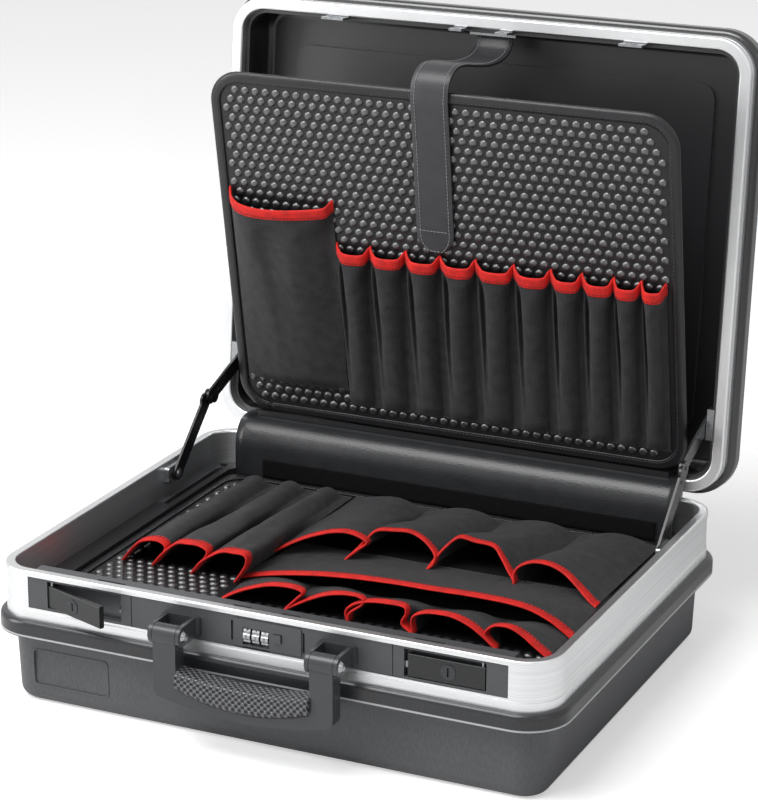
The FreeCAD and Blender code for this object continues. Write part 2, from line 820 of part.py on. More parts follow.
def latch(side, label):
    length = size.latch_pocket_length - size.latch_end_gap - size.latch_tip_gap
    outer = latch_outer_x() - size.latch_end_gap
    middle = ((outer - length / 2) * side, pin_y, latch_middle_z)
    plain = block(f"lever_{label}_block", middle, (length, size.latch_thickness, size.latch_height))
    lever = rounded(f"lever_{label}_rounded", plain, size.latch_edge_round, along(X_AXIS))
    pin_x, y, z = pin_start(side)
    bore = size.latch_pin_radius + size.running_gap
    pin_way = rod(f"lever_{label}_pin_way", bore, size.strip_height, (pin_x, y, z))
    heel_x = (outer + size.overrun / 2) * side
    heel = block(f"lever_{label}_heel", (heel_x, pocket_floor, latch_middle_z), (
        size.overrun + size.latch_pin_inset, size.latch_thickness, size.latch_height + size.overrun))
    key_x = (latch_outer_x() - size.key_from_end) * side
    key_front = strip_face - size.key_proud
    key_start = (key_x, key_front, latch_middle_z)
    depth = size.latch_thickness + size.key_proud
    key_way_radius = size.key_radius + size.running_gap
    key_way = rod(f"lever_{label}_key_way", key_way_radius, depth + size.overrun, key_start, Y_AXIS)
    body = cut(f"latch_{label}", lever, pin_way, key_way, heel)
    keep(f"latch_{label}", open_left(body, side))
    drum = rod(f"key_{label}_drum", size.key_radius, depth, key_start, Y_AXIS)
    slot_middle = (key_x, key_front, latch_middle_z)
    slot_size = (size.key_slot_width, size.key_slot_depth * 2, size.key_slot_length)
    slot = block(f"key_{label}_slot", slot_middle, slot_size)
    keep(f"key_cylinder_{label}", open_left(cut(f"key_{label}", drum, slot), side))


def latch_hardware():
    pins = []
    catches = []
    for side in (-1, 1):
        x, y, z = pin_start(side)
        length = size.strip_height - size.strip_clearance * 4
        pins.append(rod(f"latch_pin_{side}", size.latch_pin_radius, length, (x, y, z)))
        inner = latch_pocket_middle - size.latch_pocket_length / 2
        catch_x = (inner + size.catch_width / 2) * side
        depth = size.latch_thickness
        middle = (catch_x, strip_face + size.label_depth + depth / 2, latch_middle_z)
        catch_size = (size.catch_width, depth - size.label_depth, size.catch_height)
        catches.append(block(f"catch_{side}", middle, catch_size))
    group("latch_pins", *pins)
    group("latch_catches", *catches)


# Carrying handle: two clevis brackets, their pins, a bowed frame and a net-textured grip
handle_y = front_face - size.handle_reach


def handle_mounts():
    brackets = []
    pins = []
    gap = size.ear_gap
    span = size.handle_arm_width + 2 * gap + 2 * size.ear_thickness
    foot_y = strip_face - size.bracket_foot / 2
    foot_z = handle_pivot_height
    for side in (-1, 1):
        x = size.handle_arm_middle * side
        foot_size = (span + 2 * size.bracket_side, size.bracket_foot, size.bracket_height)
        foot = block(f"bracket_foot_{side}", (x, foot_y, foot_z), foot_size)
        solids = [rounded(f"bracket_foot_round_{side}", foot, size.bracket_side, along(Y_AXIS))]
        reach = strip_face - handle_y
        offset = (size.handle_arm_width + size.ear_thickness) / 2 + gap
        radius = size.handle_knuckle_radius
        for ear, ear_side in (("inner", -1), ("outer", 1)):
            ear_x = x + offset * ear_side
            web_middle = (ear_x, handle_y + reach / 2, foot_z)
            web = block(f"ear_{ear}_web_{side}", web_middle, (size.ear_thickness, reach, 2 * radius))
            start = (ear_x - size.ear_thickness / 2, handle_y, foot_z)
            solids += [web, rod(f"ear_{ear}_{side}", radius, size.ear_thickness, start, X_AXIS)]
        start = (x - span, handle_y, foot_z)
        way = rod(f"bracket_way_{side}", size.handle_pin_radius, 2 * span, start, X_AXIS)
        brackets.append(cut(f"handle_bracket_{side}", join(f"bracket_{side}", *solids), way))
        start = (x - span / 2, handle_y, foot_z)
        shaft = rod(f"handle_shaft_{side}", size.handle_pin_radius, span, start, X_AXIS)
        right_cap = dome(f"handle_cap_right_{side}", size.handle_cap_radius, size.handle_cap_height,
                         (x + span / 2, handle_y, foot_z), X_AXIS)
        left_cap = dome(f"handle_cap_left_{side}", size.handle_cap_radius, size.handle_cap_height,
                        (x - span / 2, handle_y, foot_z), -X_AXIS)
        pins.append(join(f"handle_pin_{side}", shaft, right_cap, left_cap))
    group("handle_brackets", *brackets)
    group("handle_pins", *pins)


def handle():
    """Bowed frame in one sketch: straight arms, rounded corners and a sagging lower bar."""
    frame = new_body("handle_blank")
    sketch = new_sketch(frame, "handle_outline", "XZ_Plane", -handle_y - size.handle_arm_thickness / 2)
    outer, inner, pivot, low, bow, bar = numbers(
        size.handle_arm_middle + size.handle_arm_width / 2,
        size.handle_arm_middle - size.handle_arm_width / 2,
        handle_pivot_height, handle_pivot_height - size.handle_drop,
        size.handle_bow, size.handle_bar_height)
    corners = ((-outer, pivot), (-outer, low), (outer, low), (outer, pivot),
               (inner, pivot), (inner, low + bar), (-inner, low + bar), (-inner, pivot))
    points = [Vector(x, z, 0) for x, z in corners]
    crown = Vector(0, low - bow, 0)
    upper_crown = Vector(0, low + bar - bow, 0)
    sketch.addGeometry(Part.LineSegment(points[0], points[1]))
    sketch.addGeometry(Part.Arc(points[1], crown, points[2]))
    sketch.addGeometry(Part.LineSegment(points[2], points[3]))
    sketch.addGeometry(Part.LineSegment(points[3], points[4]))
    sketch.addGeometry(Part.LineSegment(points[4], points[5]))
    sketch.addGeometry(Part.Arc(points[5], upper_crown, points[6]))
    sketch.addGeometry(Part.LineSegment(points[6], points[7]))
    sketch.addGeometry(Part.LineSegment(points[7], points[0]))
    pad = frame.newObject("PartDesign::Pad", "handle_pad")
    pad.Profile = sketch
    bind(pad, Length=size.handle_arm_thickness)
    doc.recompute()
    soften(frame, "handle_corners", size.handle_corner_round, outer_corner)
    rounds = []
    cuts = []
    for side in (-1, 1):
        start = (size.handle_arm_middle * side - size.handle_arm_width / 2, handle_y, handle_pivot_height)
        radius = size.handle_knuckle_radius
        rounds.append(rod(f"knuckle_{side}", radius, size.handle_arm_width, start, X_AXIS))
        way = size.handle_pin_radius + size.running_gap
        cuts.append(rod(f"knuckle_way_{side}", way, size.handle_arm_width, start, X_AXIS))
    whole = join("handle_solid", frame, *rounds)
    keep("handle_frame", cut("handle_frame", whole, *cuts))
    handle_grip()


def outer_corner(edge):
    """Test for the two lower corners on the handle's outside."""
    box = edge.BoundBox
    below = box.ZMax < float(handle_pivot_height - size.handle_drop / 2)
    outside = min(abs(box.XMin), abs(box.XMax)) > float(size.handle_arm_middle)
    return along(Y_AXIS)(edge) and below and outside


def handle_grip():
    """The grip fills the frame above its lower bar: its underside follows the bow."""
    low = handle_pivot_height - size.handle_drop + size.handle_bar_height
    half = size.handle_arm_middle - size.handle_arm_width / 2
    inner, base, top, bow = numbers(half, low, low + size.grip_height, size.handle_bow)
    upper_crown = top - bow * grip_crown_share
    grip = new_body("grip_blank")
    sketch = new_sketch(grip, "grip_outline", "XZ_Plane", -handle_y - size.grip_thickness / 2)
    sketch.addGeometry(Part.Arc(Vector(-inner, base, 0), Vector(0, base - bow, 0), Vector(inner, base, 0)))
    sketch.addGeometry(Part.LineSegment(Vector(inner, base, 0), Vector(inner, top, 0)))
    sketch.addGeometry(Part.Arc(Vector(inner, top, 0), Vector(0, upper_crown, 0), Vector(-inner, top, 0)))
    sketch.addGeometry(Part.LineSegment(Vector(-inner, top, 0), Vector(-inner, base, 0)))
    pad = grip.newObject("PartDesign::Pad", "grip_pad")
    pad.Profile = sketch
    bind(pad, Length=size.grip_thickness)
    doc.recompute()
    front, back = numbers(handle_y - size.grip_thickness / 2, handle_y + size.grip_thickness / 2)

    def long_edge(edge):
        box = edge.BoundBox
        flat = abs(box.YMin - box.YMax) < TINY and min(abs(box.YMin - front), abs(box.YMin - back)) < TINY
        return flat and box.XLength > inner

    keep("handle_grip", rounded("grip_rounded", grip, size.grip_round, long_edge))


# Strikes that hang from the lid frame's front wall and drop into the lock case
def strikes():
    wall_y = -half_depth + size.lid_frame_wall
    for name, x, width in (("latch_strikes", latch_strike_x, size.latch_strike_width),
                           ("lock_strikes", size.lock_strike_x, size.lock_strike_width)):
        solids = []
        for side in (-1, 1):
            thick = size.strike_thickness
            foot_middle = (x * side, wall_y + thick / 2, mouth_height + size.strike_foot_height / 2)
            foot = block(f"{name}_foot_{side}", foot_middle, (width, thick, size.strike_foot_height))
            plate_height = size.strike_drop + size.strike_foot_height / 2
            plate_z = mouth_height + size.strike_foot_height / 2 - plate_height / 2
            plate_y = wall_y + thick / 2 + size.strike_clearance / 2
            plate = block(f"{name}_plate_{side}", (x * side, plate_y, plate_z), (width, thick, plate_height))
            eye_z = mouth_height - size.strike_drop + size.strike_eye_height
            eye_size = (width / 2, thick * 4, size.strike_eye_height)
            eye = block(f"{name}_eye_{side}", (x * side, wall_y, eye_z), eye_size)
            solids.append(cut(f"{name}_{side}", join(f"{name}_solid_{side}", foot, plate), eye))
        on_lid(group(name, *solids))


# Folding stays: a link on each base bracket meets a link on each lid bracket at the knee
lower_plane = half_width - size.base_frame_wall - size.stay_stand_off - size.stay_link_thickness / 2
upper_plane = lower_plane - size.stay_link_thickness - size.stay_link_gap
lid_pivot_y = half_depth - size.stay_lid_run
lid_pivot_z = rim_height + size.stay_lid_depth


def opened(y, z):
    """Where a point of the shut lid lies when the lid is open."""
    angle = math.radians(float(size.lid_open_angle))
    run, depth = numbers(hinge_y - y, z - hinge_z)
    axis_y, axis_z = numbers(hinge_y, hinge_z)
    back = axis_y - run * math.cos(angle) + depth * math.sin(angle)
    up = axis_z + run * math.sin(angle) + depth * math.cos(angle)
    return back, up


def knee_point():
    """The upper of the two points that both links reach with the lid open."""
    lid_y, lid_z = opened(lid_pivot_y, lid_pivot_z)
    base_y, base_z, lower, upper = numbers(
        stay_base_y, stay_base_height, size.stay_lower_length, size.stay_upper_length)
    span = math.hypot(lid_y - base_y, lid_z - base_z)
    along_span = (lower ** 2 - upper ** 2 + span ** 2) / (2 * span)
    rise = math.sqrt(lower ** 2 - along_span ** 2)
    unit_y = (lid_y - base_y) / span
    unit_z = (lid_z - base_z) / span
    return base_y + unit_y * along_span - unit_z * rise, base_z + unit_z * along_span + unit_y * rise


def stay_link(name, plane, side, start, end, length, head_side):
    """A flat link drawn along Y from its pin, then turned about the pin into place."""
    thickness = size.stay_link_thickness
    radius = size.stay_link_width / 2
    x = plane * side
    left = x - thickness / 2
    slab = block(name + "_slab", (x, length / 2, 0), (thickness, length, size.stay_link_width))
    pin_end = rod(name + "_pin_end", radius, thickness, (left, 0, 0), X_AXIS)
    knee_end = rod(name + "_knee_end", radius, thickness, (left, length, 0), X_AXIS)
    lobe = rod(name + "_lobe", radius, thickness, (left, length - radius, radius / 2), X_AXIS)
    head_axis = X_AXIS * (side * head_side)
    heads = []
    for turn in (0, 1):
        head_y = length - turn * size.stay_link_width
        head = (x + thickness / 2 * side * head_side, head_y, 0)
        head_height = size.stay_head_height / 2
        heads.append(dome(f"{name}_rivet_{turn}", size.stay_rivet_radius, head_height, head, head_axis))
    way = rod(name + "_pin_way", size.stay_pin_radius + size.running_gap, thickness * 2,
              (left - thickness / 2, 0, 0), X_AXIS)
    link = keep(name, cut(name, join(name + "_solid", slab, pin_end, knee_end, lobe, *heads), way))
    angle = math.degrees(math.atan2(end[1] - start[1], end[0] - start[0]))
    link.Placement = Placement(Vector(0, *start), Rotation(X_AXIS, angle))
    return link


def stay_pin(name, side, plane, root, y, z):
    """A pin from its bracket face through one link, with a head on the far side."""
    inner = plane - size.stay_link_thickness / 2 - size.stay_link_gap
    shank = rod(name + "_shank", size.stay_pin_radius, root - inner, (root * side, y, z), X_AXIS * -side)
    top = (inner * side, y, z)
    head = dome(name + "_head", size.stay_head_radius, size.stay_head_height, top, X_AXIS * -side)
    return [shank, head]


def stays():
    knee = knee_point()
    base_pivot = numbers(stay_base_y, stay_base_height)
    lid_pivot = opened(lid_pivot_y, lid_pivot_z)
    base_solids = []
    lid_solids = []
    for side, label in ((-1, "left"), (1, "right")):
        stay_link(f"stay_{label}_lower", lower_plane, side, base_pivot, knee, size.stay_lower_length, 1)
        stay_link(f"stay_{label}_upper", upper_plane, side, lid_pivot, knee, size.stay_upper_length, -1)
        base_solids.append(base_bracket(label, side))
        lid_solids.append(lid_bracket(label, side))
    group("stay_base_brackets", *base_solids)
    on_lid(group("stay_lid_brackets", *lid_solids))


def base_bracket(label, side):
    wall = half_width - size.base_frame_wall
    face = lower_plane + size.stay_link_thickness / 2 + size.stay_link_gap
    middle = ((wall + face) / 2 * side, stay_base_y, stay_base_height)
    plate_size = (wall - face, size.stay_bracket_length, size.stay_bracket_height)
    plate = block(f"base_bracket_{label}", middle, plate_size)
    shaped = rounded(f"base_bracket_{label}_round", plate, size.bracket_side, along(X_AXIS))
    pin = stay_pin(f"base_stay_pin_{label}", side, lower_plane, face, stay_base_y, stay_base_height)
    return join(f"base_bracket_{label}_whole", shaped, *pin)


def lid_bracket(label, side):
    """A plate in front of the lid's upstand, on a foot that fills the space to the frame."""
    face = upper_plane + size.stay_link_thickness / 2 + size.stay_link_gap
    plate_x = face + size.stay_link_thickness / 2
    bottom = mouth_height + size.fit_gap
    plate_z = bottom + size.stay_bracket_height / 2
    plate_size = (size.stay_link_thickness, size.stay_bracket_length, size.stay_bracket_height)
    plate = block(f"lid_bracket_{label}", (plate_x * side, lid_pivot_y, plate_z), plate_size)
    wall = half_width - size.lid_frame_wall
    foot_face = face + size.stay_link_thickness
    foot_top = lid_frame_top - size.upstand_height - size.fit_gap
    foot_middle = ((wall + foot_face) / 2 * side, lid_pivot_y, (bottom + foot_top) / 2)
    foot_size = (wall - foot_face, size.stay_bracket_length, foot_top - bottom)
    foot = block(f"lid_bracket_foot_{label}", foot_middle, foot_size)
    pin = stay_pin(f"lid_stay_pin_{label}", side, upper_plane, face, lid_pivot_y, lid_pivot_z)
    return join(f"lid_bracket_{label}_whole", plate, foot, *pin)


# Tray rim round the compartment: flange on the upstand, short wall, ledge for the board
ledge_bottom = upstand_top - size.tray_step
ledge_top = ledge_bottom + size.tray_ledge_thickness


def opening(grow):
    """The compartment's mouth, moved out by an amount."""
    edge = size.base_frame_wall + size.fit_gap
    side = half_width - edge - size.tray_flange_width + grow
    front = -half_depth + edge + size.tray_flange_width - grow
    back = half_depth - edge - size.tray_rear_flange + grow
    return (-side, side, front, back, size.tray_corner_round + grow)


def tray_rim():
    tray = new_body("tray_blank")
    wall = opening(size.tray_wall)
    layer(tray, "tray_ledge", ledge_bottom, size.tray_ledge_thickness, wall, opening(-size.tray_ledge))
    layer(tray, "tray_wall", ledge_top, upstand_top - ledge_top, wall, opening(0))
    edge = inset(size.base_frame_wall + size.fit_gap)
    layer(tray, "tray_flange", upstand_top, size.tray_flange_thickness, edge, opening(0))
    slots = []
    slot_inner = upper_plane - size.stay_link_thickness / 2 - size.stay_slot_gap
    slot_outer = half_width
    slot_y = hinge_y - (size.stay_slot_front_run + size.stay_slot_back_run) / 2
    slot_length = size.stay_slot_front_run - size.stay_slot_back_run
    slot_size = (slot_outer - slot_inner, slot_length, size.tray_flange_thickness * 2)
    slot_z = upstand_top + size.tray_flange_thickness / 2
    for side in (-1, 1):
        middle = ((slot_inner + slot_outer) / 2 * side, slot_y, slot_z)
        slots.append(block(f"stay_slot_{side}", middle, slot_size))
    return keep("base_tray_rim", cut("base_tray_rim", tray, *slots))


# Pocket boards and all that is sewn to them are drawn flat: X across, Y along, Z off the face
base_board_face = ledge_top + size.stay_link_gap + size.board_binding_proud + size.base_board_thickness
base_board_place = Placement(Vector(0, 0, float(base_board_face)), Rotation())
lid_board_foot_y = half_depth - size.lid_board_foot_gap
lid_board_foot_z = hinge_z + size.lid_board_foot_rise
lid_board_foot = Vector(*numbers(0, lid_board_foot_y, lid_board_foot_z))
lid_board_place = Placement(lid_board_foot, Rotation(X_AXIS, 90 + float(size.lid_board_lean)))


def on_board(obj, board_place):
    obj.Placement = board_place * obj.Placement
    return obj


def base_board_outline(grow):
    left, right, front, back, radius = opening(grow - size.base_board_gap)
    return (left, right, front, back + size.base_board_gap - size.base_board_rear_gap, radius)


def lid_board_outline(grow):
    side = lid_board_width / 2 + grow
    return (-side, side, -as_size(grow), lid_board_height + grow, size.lid_board_round + grow)


def bound_board(name, shape, thickness, board_place):
    """A board with its edge binding, a channel that wraps the rim of the board."""
    proud = size.board_binding_proud
    panels = []
    for use in ("_panel", "_core"):
        panel = new_body(name + use)
        layer(panel, name + use + "_pad", 0, thickness, shape(0), down=True)
        panels.append(panel)
    edge = new_body(name + "_edge")
    ring = (shape(proud), shape(-size.board_binding_width))
    layer(edge, name + "_edge_pad", -(thickness + proud), thickness + 2 * proud, *ring)
    on_board(keep(name, panels[0]), board_place)
    on_board(keep(name + "_binding", cut(name + "_binding", edge, panels[1])), board_place)


# Sewn pockets: a cloth sleeve with an arched mouth that flattens towards its closed end
class Pocket:
    """One sleeve on a board, from its mouth at one place along Y to its end at another."""

    wall_share = 0.35

    def __init__(self, x, width, mouth, end, mouth_rise, end_rise):
        self.x, self.width, self.mouth, self.end, self.mouth_rise, self.end_rise = numbers(
            x, width, mouth, end, mouth_rise, end_rise)
        self.length = abs(self.end - self.mouth)

    def section(self, run, side_grow, top_grow):
        """The arched outline at a run from the mouth, grown at its sides and top."""
        share = run / self.length
        y = self.mouth + (self.end - self.mouth) * share
        rise = self.mouth_rise + (self.end_rise - self.mouth_rise) * share + top_grow
        shoulder = (rise - top_grow) * self.wall_share
        left = self.x - self.width / 2 - side_grow
        right = self.x + self.width / 2 + side_grow
        foot_left, foot_right = Vector(left, y, 0), Vector(right, y, 0)
        left_shoulder, right_shoulder = Vector(left, y, shoulder), Vector(right, y, shoulder)
        return Part.Wire([
            Part.LineSegment(foot_left, left_shoulder).toShape(),
            Part.Arc(left_shoulder, Vector(self.x, y, rise), right_shoulder).toShape(),
            Part.LineSegment(right_shoulder, foot_right).toShape(),
            Part.LineSegment(foot_right, foot_left).toShape(),
        ])

    def sleeve(self, start, stop, side_grow=0, top_grow=0):
        ends = [self.section(run, side_grow, top_grow) for run in (start, stop)]
        return Part.makeLoft(ends, True, True)

    def cloth(self):
        cloth, overrun = numbers(size.cloth, size.overrun)
        inside = self.sleeve(-overrun, self.length - cloth, -cloth, -cloth)
        return self.sleeve(0, self.length).cut(inside)

    def binding(self):
        gap, height, top, overrun = numbers(
            size.binding_gap, size.binding_height, size.binding_thickness, size.overrun)
        side = float(size.binding_side)
        band = self.sleeve(0, height, gap + side, gap + top)
        return band.cut(self.sleeve(-overrun, height + overrun, gap, gap))


def sewn(name, shapes, board_place):
    solids = []
    for turn, shape in enumerate(shapes, start=1):
        solid = doc.addObject("Part::Feature", f"{name}_{turn}")
        solid.Shape = shape
        solids.append(solid)
    on_board(group(name, *solids), board_place)


def pocket_row(name, bindings_name, pockets, board_place):
    sewn(name, [pocket.cloth() for pocket in pockets], board_place)
    sewn(bindings_name, [pocket.binding() for pocket in pockets], board_place)


# Where each row lies, as shares of its board: its left edge and pitch across the board's
# width, then its mouths and closed ends along the board's depth
row_shares = {
    "large": (0.021463, 0.237561, 0.673016, 0.101587),
    "small": (0.258537, 0.071220, 0.539683, 0.057143),
    "left": (0.052529, 0.083414, 0.283213, 0.964676),
    "rear": (0.312743, 0.166586, 0.520788, 0.964676),
    "long": (0.312743, 0.666342, 0.308221, 0.511410),
    "front": (0.312743, 0.133268, 0.164426, 0.298843),
}
strap_tab_share = 0.450794


def row(count, name, board, seam, mouth_rise, end_rise):
    """Sleeves side by side on a board whose outline starts with its left, right, front and back."""
    left, right, front, back = numbers(*board[:4])
    left_share, pitch_share, mouth_share, end_share = row_shares[name]
    width = right - left
    depth = back - front
    pockets = []
    for turn in range(int(float(count))):
        x = left + width * (left_share + pitch_share * (turn + 0.5))
        mouth = front + depth * mouth_share
        end = front + depth * end_share
        pockets.append(Pocket(x, width * pitch_share - float(seam), mouth, end, mouth_rise, end_rise))
    return pockets


def lid_board():
    bound_board("lid_board", lid_board_outline, size.lid_board_thickness, lid_board_place)
    board = lid_board_outline(0)
    large = row(1, "large", board, size.small_pocket_seam, size.large_pocket_mouth, size.large_pocket_end)
    pocket_row("large_pocket", "large_pocket_binding", large, lid_board_place)
    small = row(size.small_pocket_count, "small", board, size.small_pocket_seam,
                size.small_pocket_mouth, size.small_pocket_end)
    pocket_row("small_pockets", "small_pocket_bindings", small, lid_board_place)


def base_board():
    bound_board("base_board", base_board_outline, size.base_board_thickness, base_board_place)
    board = base_board_outline(0)
    left = row(size.left_pocket_count, "left", board, size.pocket_seam,
               size.left_pocket_mouth, size.left_pocket_end)
    pocket_row("left_pockets", "left_pocket_bindings", left, base_board_place)
    rear = row(size.rear_pocket_count, "rear", board, size.pocket_seam,
               size.rear_pocket_mouth, size.rear_pocket_end)
    pocket_row("rear_pockets", "rear_pocket_bindings", rear, base_board_place)
    long = row(1, "long", board, size.pocket_seam, size.long_pocket_mouth, size.long_pocket_end)
    pocket_row("long_pocket", "long_pocket_binding", long, base_board_place)
    front = row(size.front_pocket_count, "front", board, size.pocket_seam,
                size.front_pocket_mouth, size.front_pocket_end)
    pocket_row("front_pockets", "front_pocket_bindings", front, base_board_place)


# Bent bands of strap and cover: two straight runs joined by a tangent arc, with a thickness
def band_side(points, radius, offset):
    """The band's edge at an offset to the left of its middle line."""
    first = (points[1] - points[0]).normalize()
    second = (points[2] - points[1]).normalize()
    first_left = X_AXIS.cross(first)
    second_left = X_AXIS.cross(second)
    corner = points[1] + (first_left + second_left) * (offset / (1 + first_left.dot(second_left)))
    turn = first.getAngle(second)
    left_turn = X_AXIS.dot(first.cross(second)) > 0
    own_radius = radius - offset if left_turn else radius + offset
    reach = own_radius * math.tan(turn / 2)
    start = points[0] + first_left * offset
    end = points[2] + second_left * offset
    arc_start = corner - first * reach
    arc_end = corner + second * reach
    inward = first_left if left_turn else -first_left
    centre = arc_start + inward * own_radius
    middle = centre + (corner - centre).normalize() * own_radius
    return start, arc_start, middle, arc_end, end


def band(name, points, radius, thickness, middle_x, width):
    """A band through three points in a plane across X."""
    left, right = numbers(middle_x - width / 2, middle_x + width / 2)
    radius, half = numbers(radius, thickness / 2)
    sides = []
    for offset in (half, -half):
        start, arc_start, middle, arc_end, end = band_side(points, radius, offset)
        sides.append((start, end))
        sides.append([
            Part.LineSegment(start, arc_start).toShape(),
            Part.Arc(arc_start, middle, arc_end).toShape(),
            Part.LineSegment(arc_end, end).toShape(),
        ])
    (upper_start, upper_end), upper, (lower_start, lower_end), lower = sides
    ends = ((upper_end, lower_end), (lower_start, upper_start))
    caps = [Part.LineSegment(*pair).toShape() for pair in ends]
    face = Part.Face(Part.Wire(Part.__sortEdges__(upper + lower + caps)))
    solid = doc.addObject("Part::Feature", name)
    solid.Shape = face.extrude(X_AXIS * (right - left))
    solid.Placement = Placement(X_AXIS * left, Rotation())
    return keep(name, solid)


def board_rail():
    """The rail on the lid's rear frame wall that the lid board's foot stands on."""
    corner = lid_board_place.multVec(Vector(*numbers(0, -size.board_binding_proud, size.board_binding_proud)))
    axis = Vector(*numbers(0, hinge_y, hinge_z))
    shut = Placement(Vector(), Rotation(X_AXIS, float(size.lid_open_angle)), axis)
    seat = shut.multVec(corner)
    wall = half_depth - size.lid_frame_wall - size.cover_thickness - 2 * size.binding_gap
    depth = wall - seat.y - size.stay_link_gap
    length = lid_board_width - 2 * size.rail_end_gap
    middle = (0, wall - depth / 2, seat.z - size.strap_anchor_thickness / 2 + size.rail_height / 2)
    on_lid(group("board_rail", block("rail_bar", middle, (length, depth, size.rail_height))))


def strap():
    """A sewn tab on the board, its fastener pad, and the loose run to the lid's front wall."""
    top = lid_board_height
    half = size.strap_width / 2
    x = size.strap_middle_x
    pad_top = size.strap_fastener_thickness
    tab = new_body("strap_tab_blank")
    tab_length = top * strap_tab_share
    ends = (x - half, x + half, top - tab_length, top, size.strap_round)
    layer(tab, "strap_tab_pad", pad_top, size.strap_thickness, ends)
    on_board(keep("strap_tab", tab), lid_board_place)
    low = top - tab_length + size.strap_round / 2
    middle = (x, low + size.strap_fastener_size / 2, pad_top / 2)
    pad = block("fastener_pad", middle, (size.strap_fastener_size, size.strap_fastener_size, pad_top))
    on_board(group("strap_fastener", pad), lid_board_place)
    upstand = size.lid_frame_wall + size.fit_gap + size.shell_wall
    wall = -half_depth + upstand + size.stay_link_gap
    anchor_z = lid_frame_top - size.upstand_height + size.strap_anchor_length / 2 + size.fit_gap
    anchor = (x + size.strap_shift, wall + size.strap_anchor_thickness / 2, anchor_z)
    anchor_size = (size.strap_width, size.strap_anchor_thickness, size.strap_anchor_length)
    on_lid(group("strap_anchor", block("anchor_plate", anchor, anchor_size)))
    strap_bridge(wall + size.strap_anchor_thickness, anchor_z)


def strap_bridge(anchor_face, anchor_z):
    half = size.strap_thickness / 2
    gap = size.stay_link_gap
    start_y, start_z = opened(anchor_face + half + gap, anchor_z)
    start = Vector(0, start_y, start_z)
    above = lid_board_height + size.board_binding_proud + 2 * gap + half
    board_end = Vector(0, float(above), float(size.strap_fastener_thickness + half))
    end = lid_board_place.multVec(board_end)
    corner = (start + end) * 0.5 - Z_AXIS * float(size.strap_sag)
    turn = (corner - start).getAngle(end - corner)
    reach = min((corner - start).Length, (end - corner).Length)
    radius = reach * Pocket.wall_share / math.tan(turn / 2)
    middle_x = size.strap_middle_x + size.strap_shift / 2
    band("strap_bridge", [start, corner, end], radius, size.strap_thickness, middle_x, size.strap_width)


def hinge_cover():
    """Leatherette from the tray's rear, over the rim, to the lid's rear frame wall."""
    lid_face = half_depth - size.lid_frame_wall - size.cover_thickness / 2 - size.binding_gap
    end = Vector(0, *opened(lid_face, hinge_z + size.cover_lid_run))
    on_face = Vector(0, *opened(lid_face, hinge_z))
    front, low = numbers(cover_front_y, ledge_top + size.stay_link_gap)
    slope = (end.z - on_face.z) / (end.y - on_face.y)
    corner = Vector(0, front, end.z + slope * (front - end.y))
    points = [Vector(0, front, low), corner, end]
    band("hinge_cover", points, size.cover_round, size.cover_thickness, 0, cover_length)
    bottom = base_board_face + size.hook_above_board
    y = cover_front_y - size.cover_thickness / 2 - size.hook_thickness / 2
    middle = (size.hook_middle_x, y, bottom + size.hook_height / 2)
    strip_size = (cover_length - 2 * size.hook_end_gap, size.hook_thickness, size.hook_height)
    keep("hook_strip", block("hook_strip", middle, strip_size))


def check_pieces():
    doc.recompute()
    for obj in doc.Objects:
        if "Invalid" in obj.State or "Error" in obj.State:
            raise RuntimeError(f"{obj.Name} failed: {obj.State}")
    for name, obj in nodes.items():
        if obj.Shape.isNull() or not obj.Shape.isValid():
            raise RuntimeError(name + " has no valid shape")


def write_pieces():
    os.makedirs("parts", exist_ok=True)
    for name, obj in nodes.items():
        obj.Shape.exportStep(f"parts/{name}.step")
        print(f"{name}: {len(obj.Shape.Solids)} solids, {obj.Shape.Volume:.0f} mm3")


base_shell()
base_frame()
lid_frame()
lid_shell()
hinge()
lock_strip()
lock_case()
combination_lock()
latch(-1, "left")
latch(1, "right")
latch_hardware()
handle_mounts()
handle()
strikes()
stays()
tray_rim()
base_board()
lid_board()
board_rail()
strap()
hinge_cover()
check_pieces()
write_pieces()
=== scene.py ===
"""Looks of an open hard tool case: grained shells, brushed rims, two sewn tool boards, handle, latches and lock."""

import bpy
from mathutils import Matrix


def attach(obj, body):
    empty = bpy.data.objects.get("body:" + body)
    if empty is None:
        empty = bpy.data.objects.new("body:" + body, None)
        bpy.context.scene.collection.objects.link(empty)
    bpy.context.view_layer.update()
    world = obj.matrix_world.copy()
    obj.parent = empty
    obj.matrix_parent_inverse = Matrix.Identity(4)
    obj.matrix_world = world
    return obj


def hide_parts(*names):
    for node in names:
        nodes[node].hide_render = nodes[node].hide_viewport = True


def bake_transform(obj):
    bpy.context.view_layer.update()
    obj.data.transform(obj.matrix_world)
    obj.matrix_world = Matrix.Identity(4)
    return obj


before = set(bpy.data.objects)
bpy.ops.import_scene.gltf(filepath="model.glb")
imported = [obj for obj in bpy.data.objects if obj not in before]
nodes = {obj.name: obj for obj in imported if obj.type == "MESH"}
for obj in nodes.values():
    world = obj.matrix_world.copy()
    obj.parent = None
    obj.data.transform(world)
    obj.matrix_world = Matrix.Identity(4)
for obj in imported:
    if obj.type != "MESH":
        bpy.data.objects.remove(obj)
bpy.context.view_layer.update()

import math

import bpy
import numpy as np
from mathutils import Matrix, Vector, noise

MM = 0.001
scene = bpy.context.scene

# The open lid turns about the hinge pin, and its board leans on the rail
HINGE = Vector((0, 190.8, 113.7)) * MM
LID_TURN = math.radians(95.5)
LID_BOARD_FOOT = Vector((0, 185.5, 135.4)) * MM
LID_BOARD_TURN = math.radians(100.4)
BASE_BOARD_FACE = 80.7 * MM

lid_board_place = Matrix.Translation(LID_BOARD_FOOT) @ Matrix.Rotation(LID_BOARD_TURN, 4, "X")
base_board_place = Matrix.Translation((0, 0, BASE_BOARD_FACE))


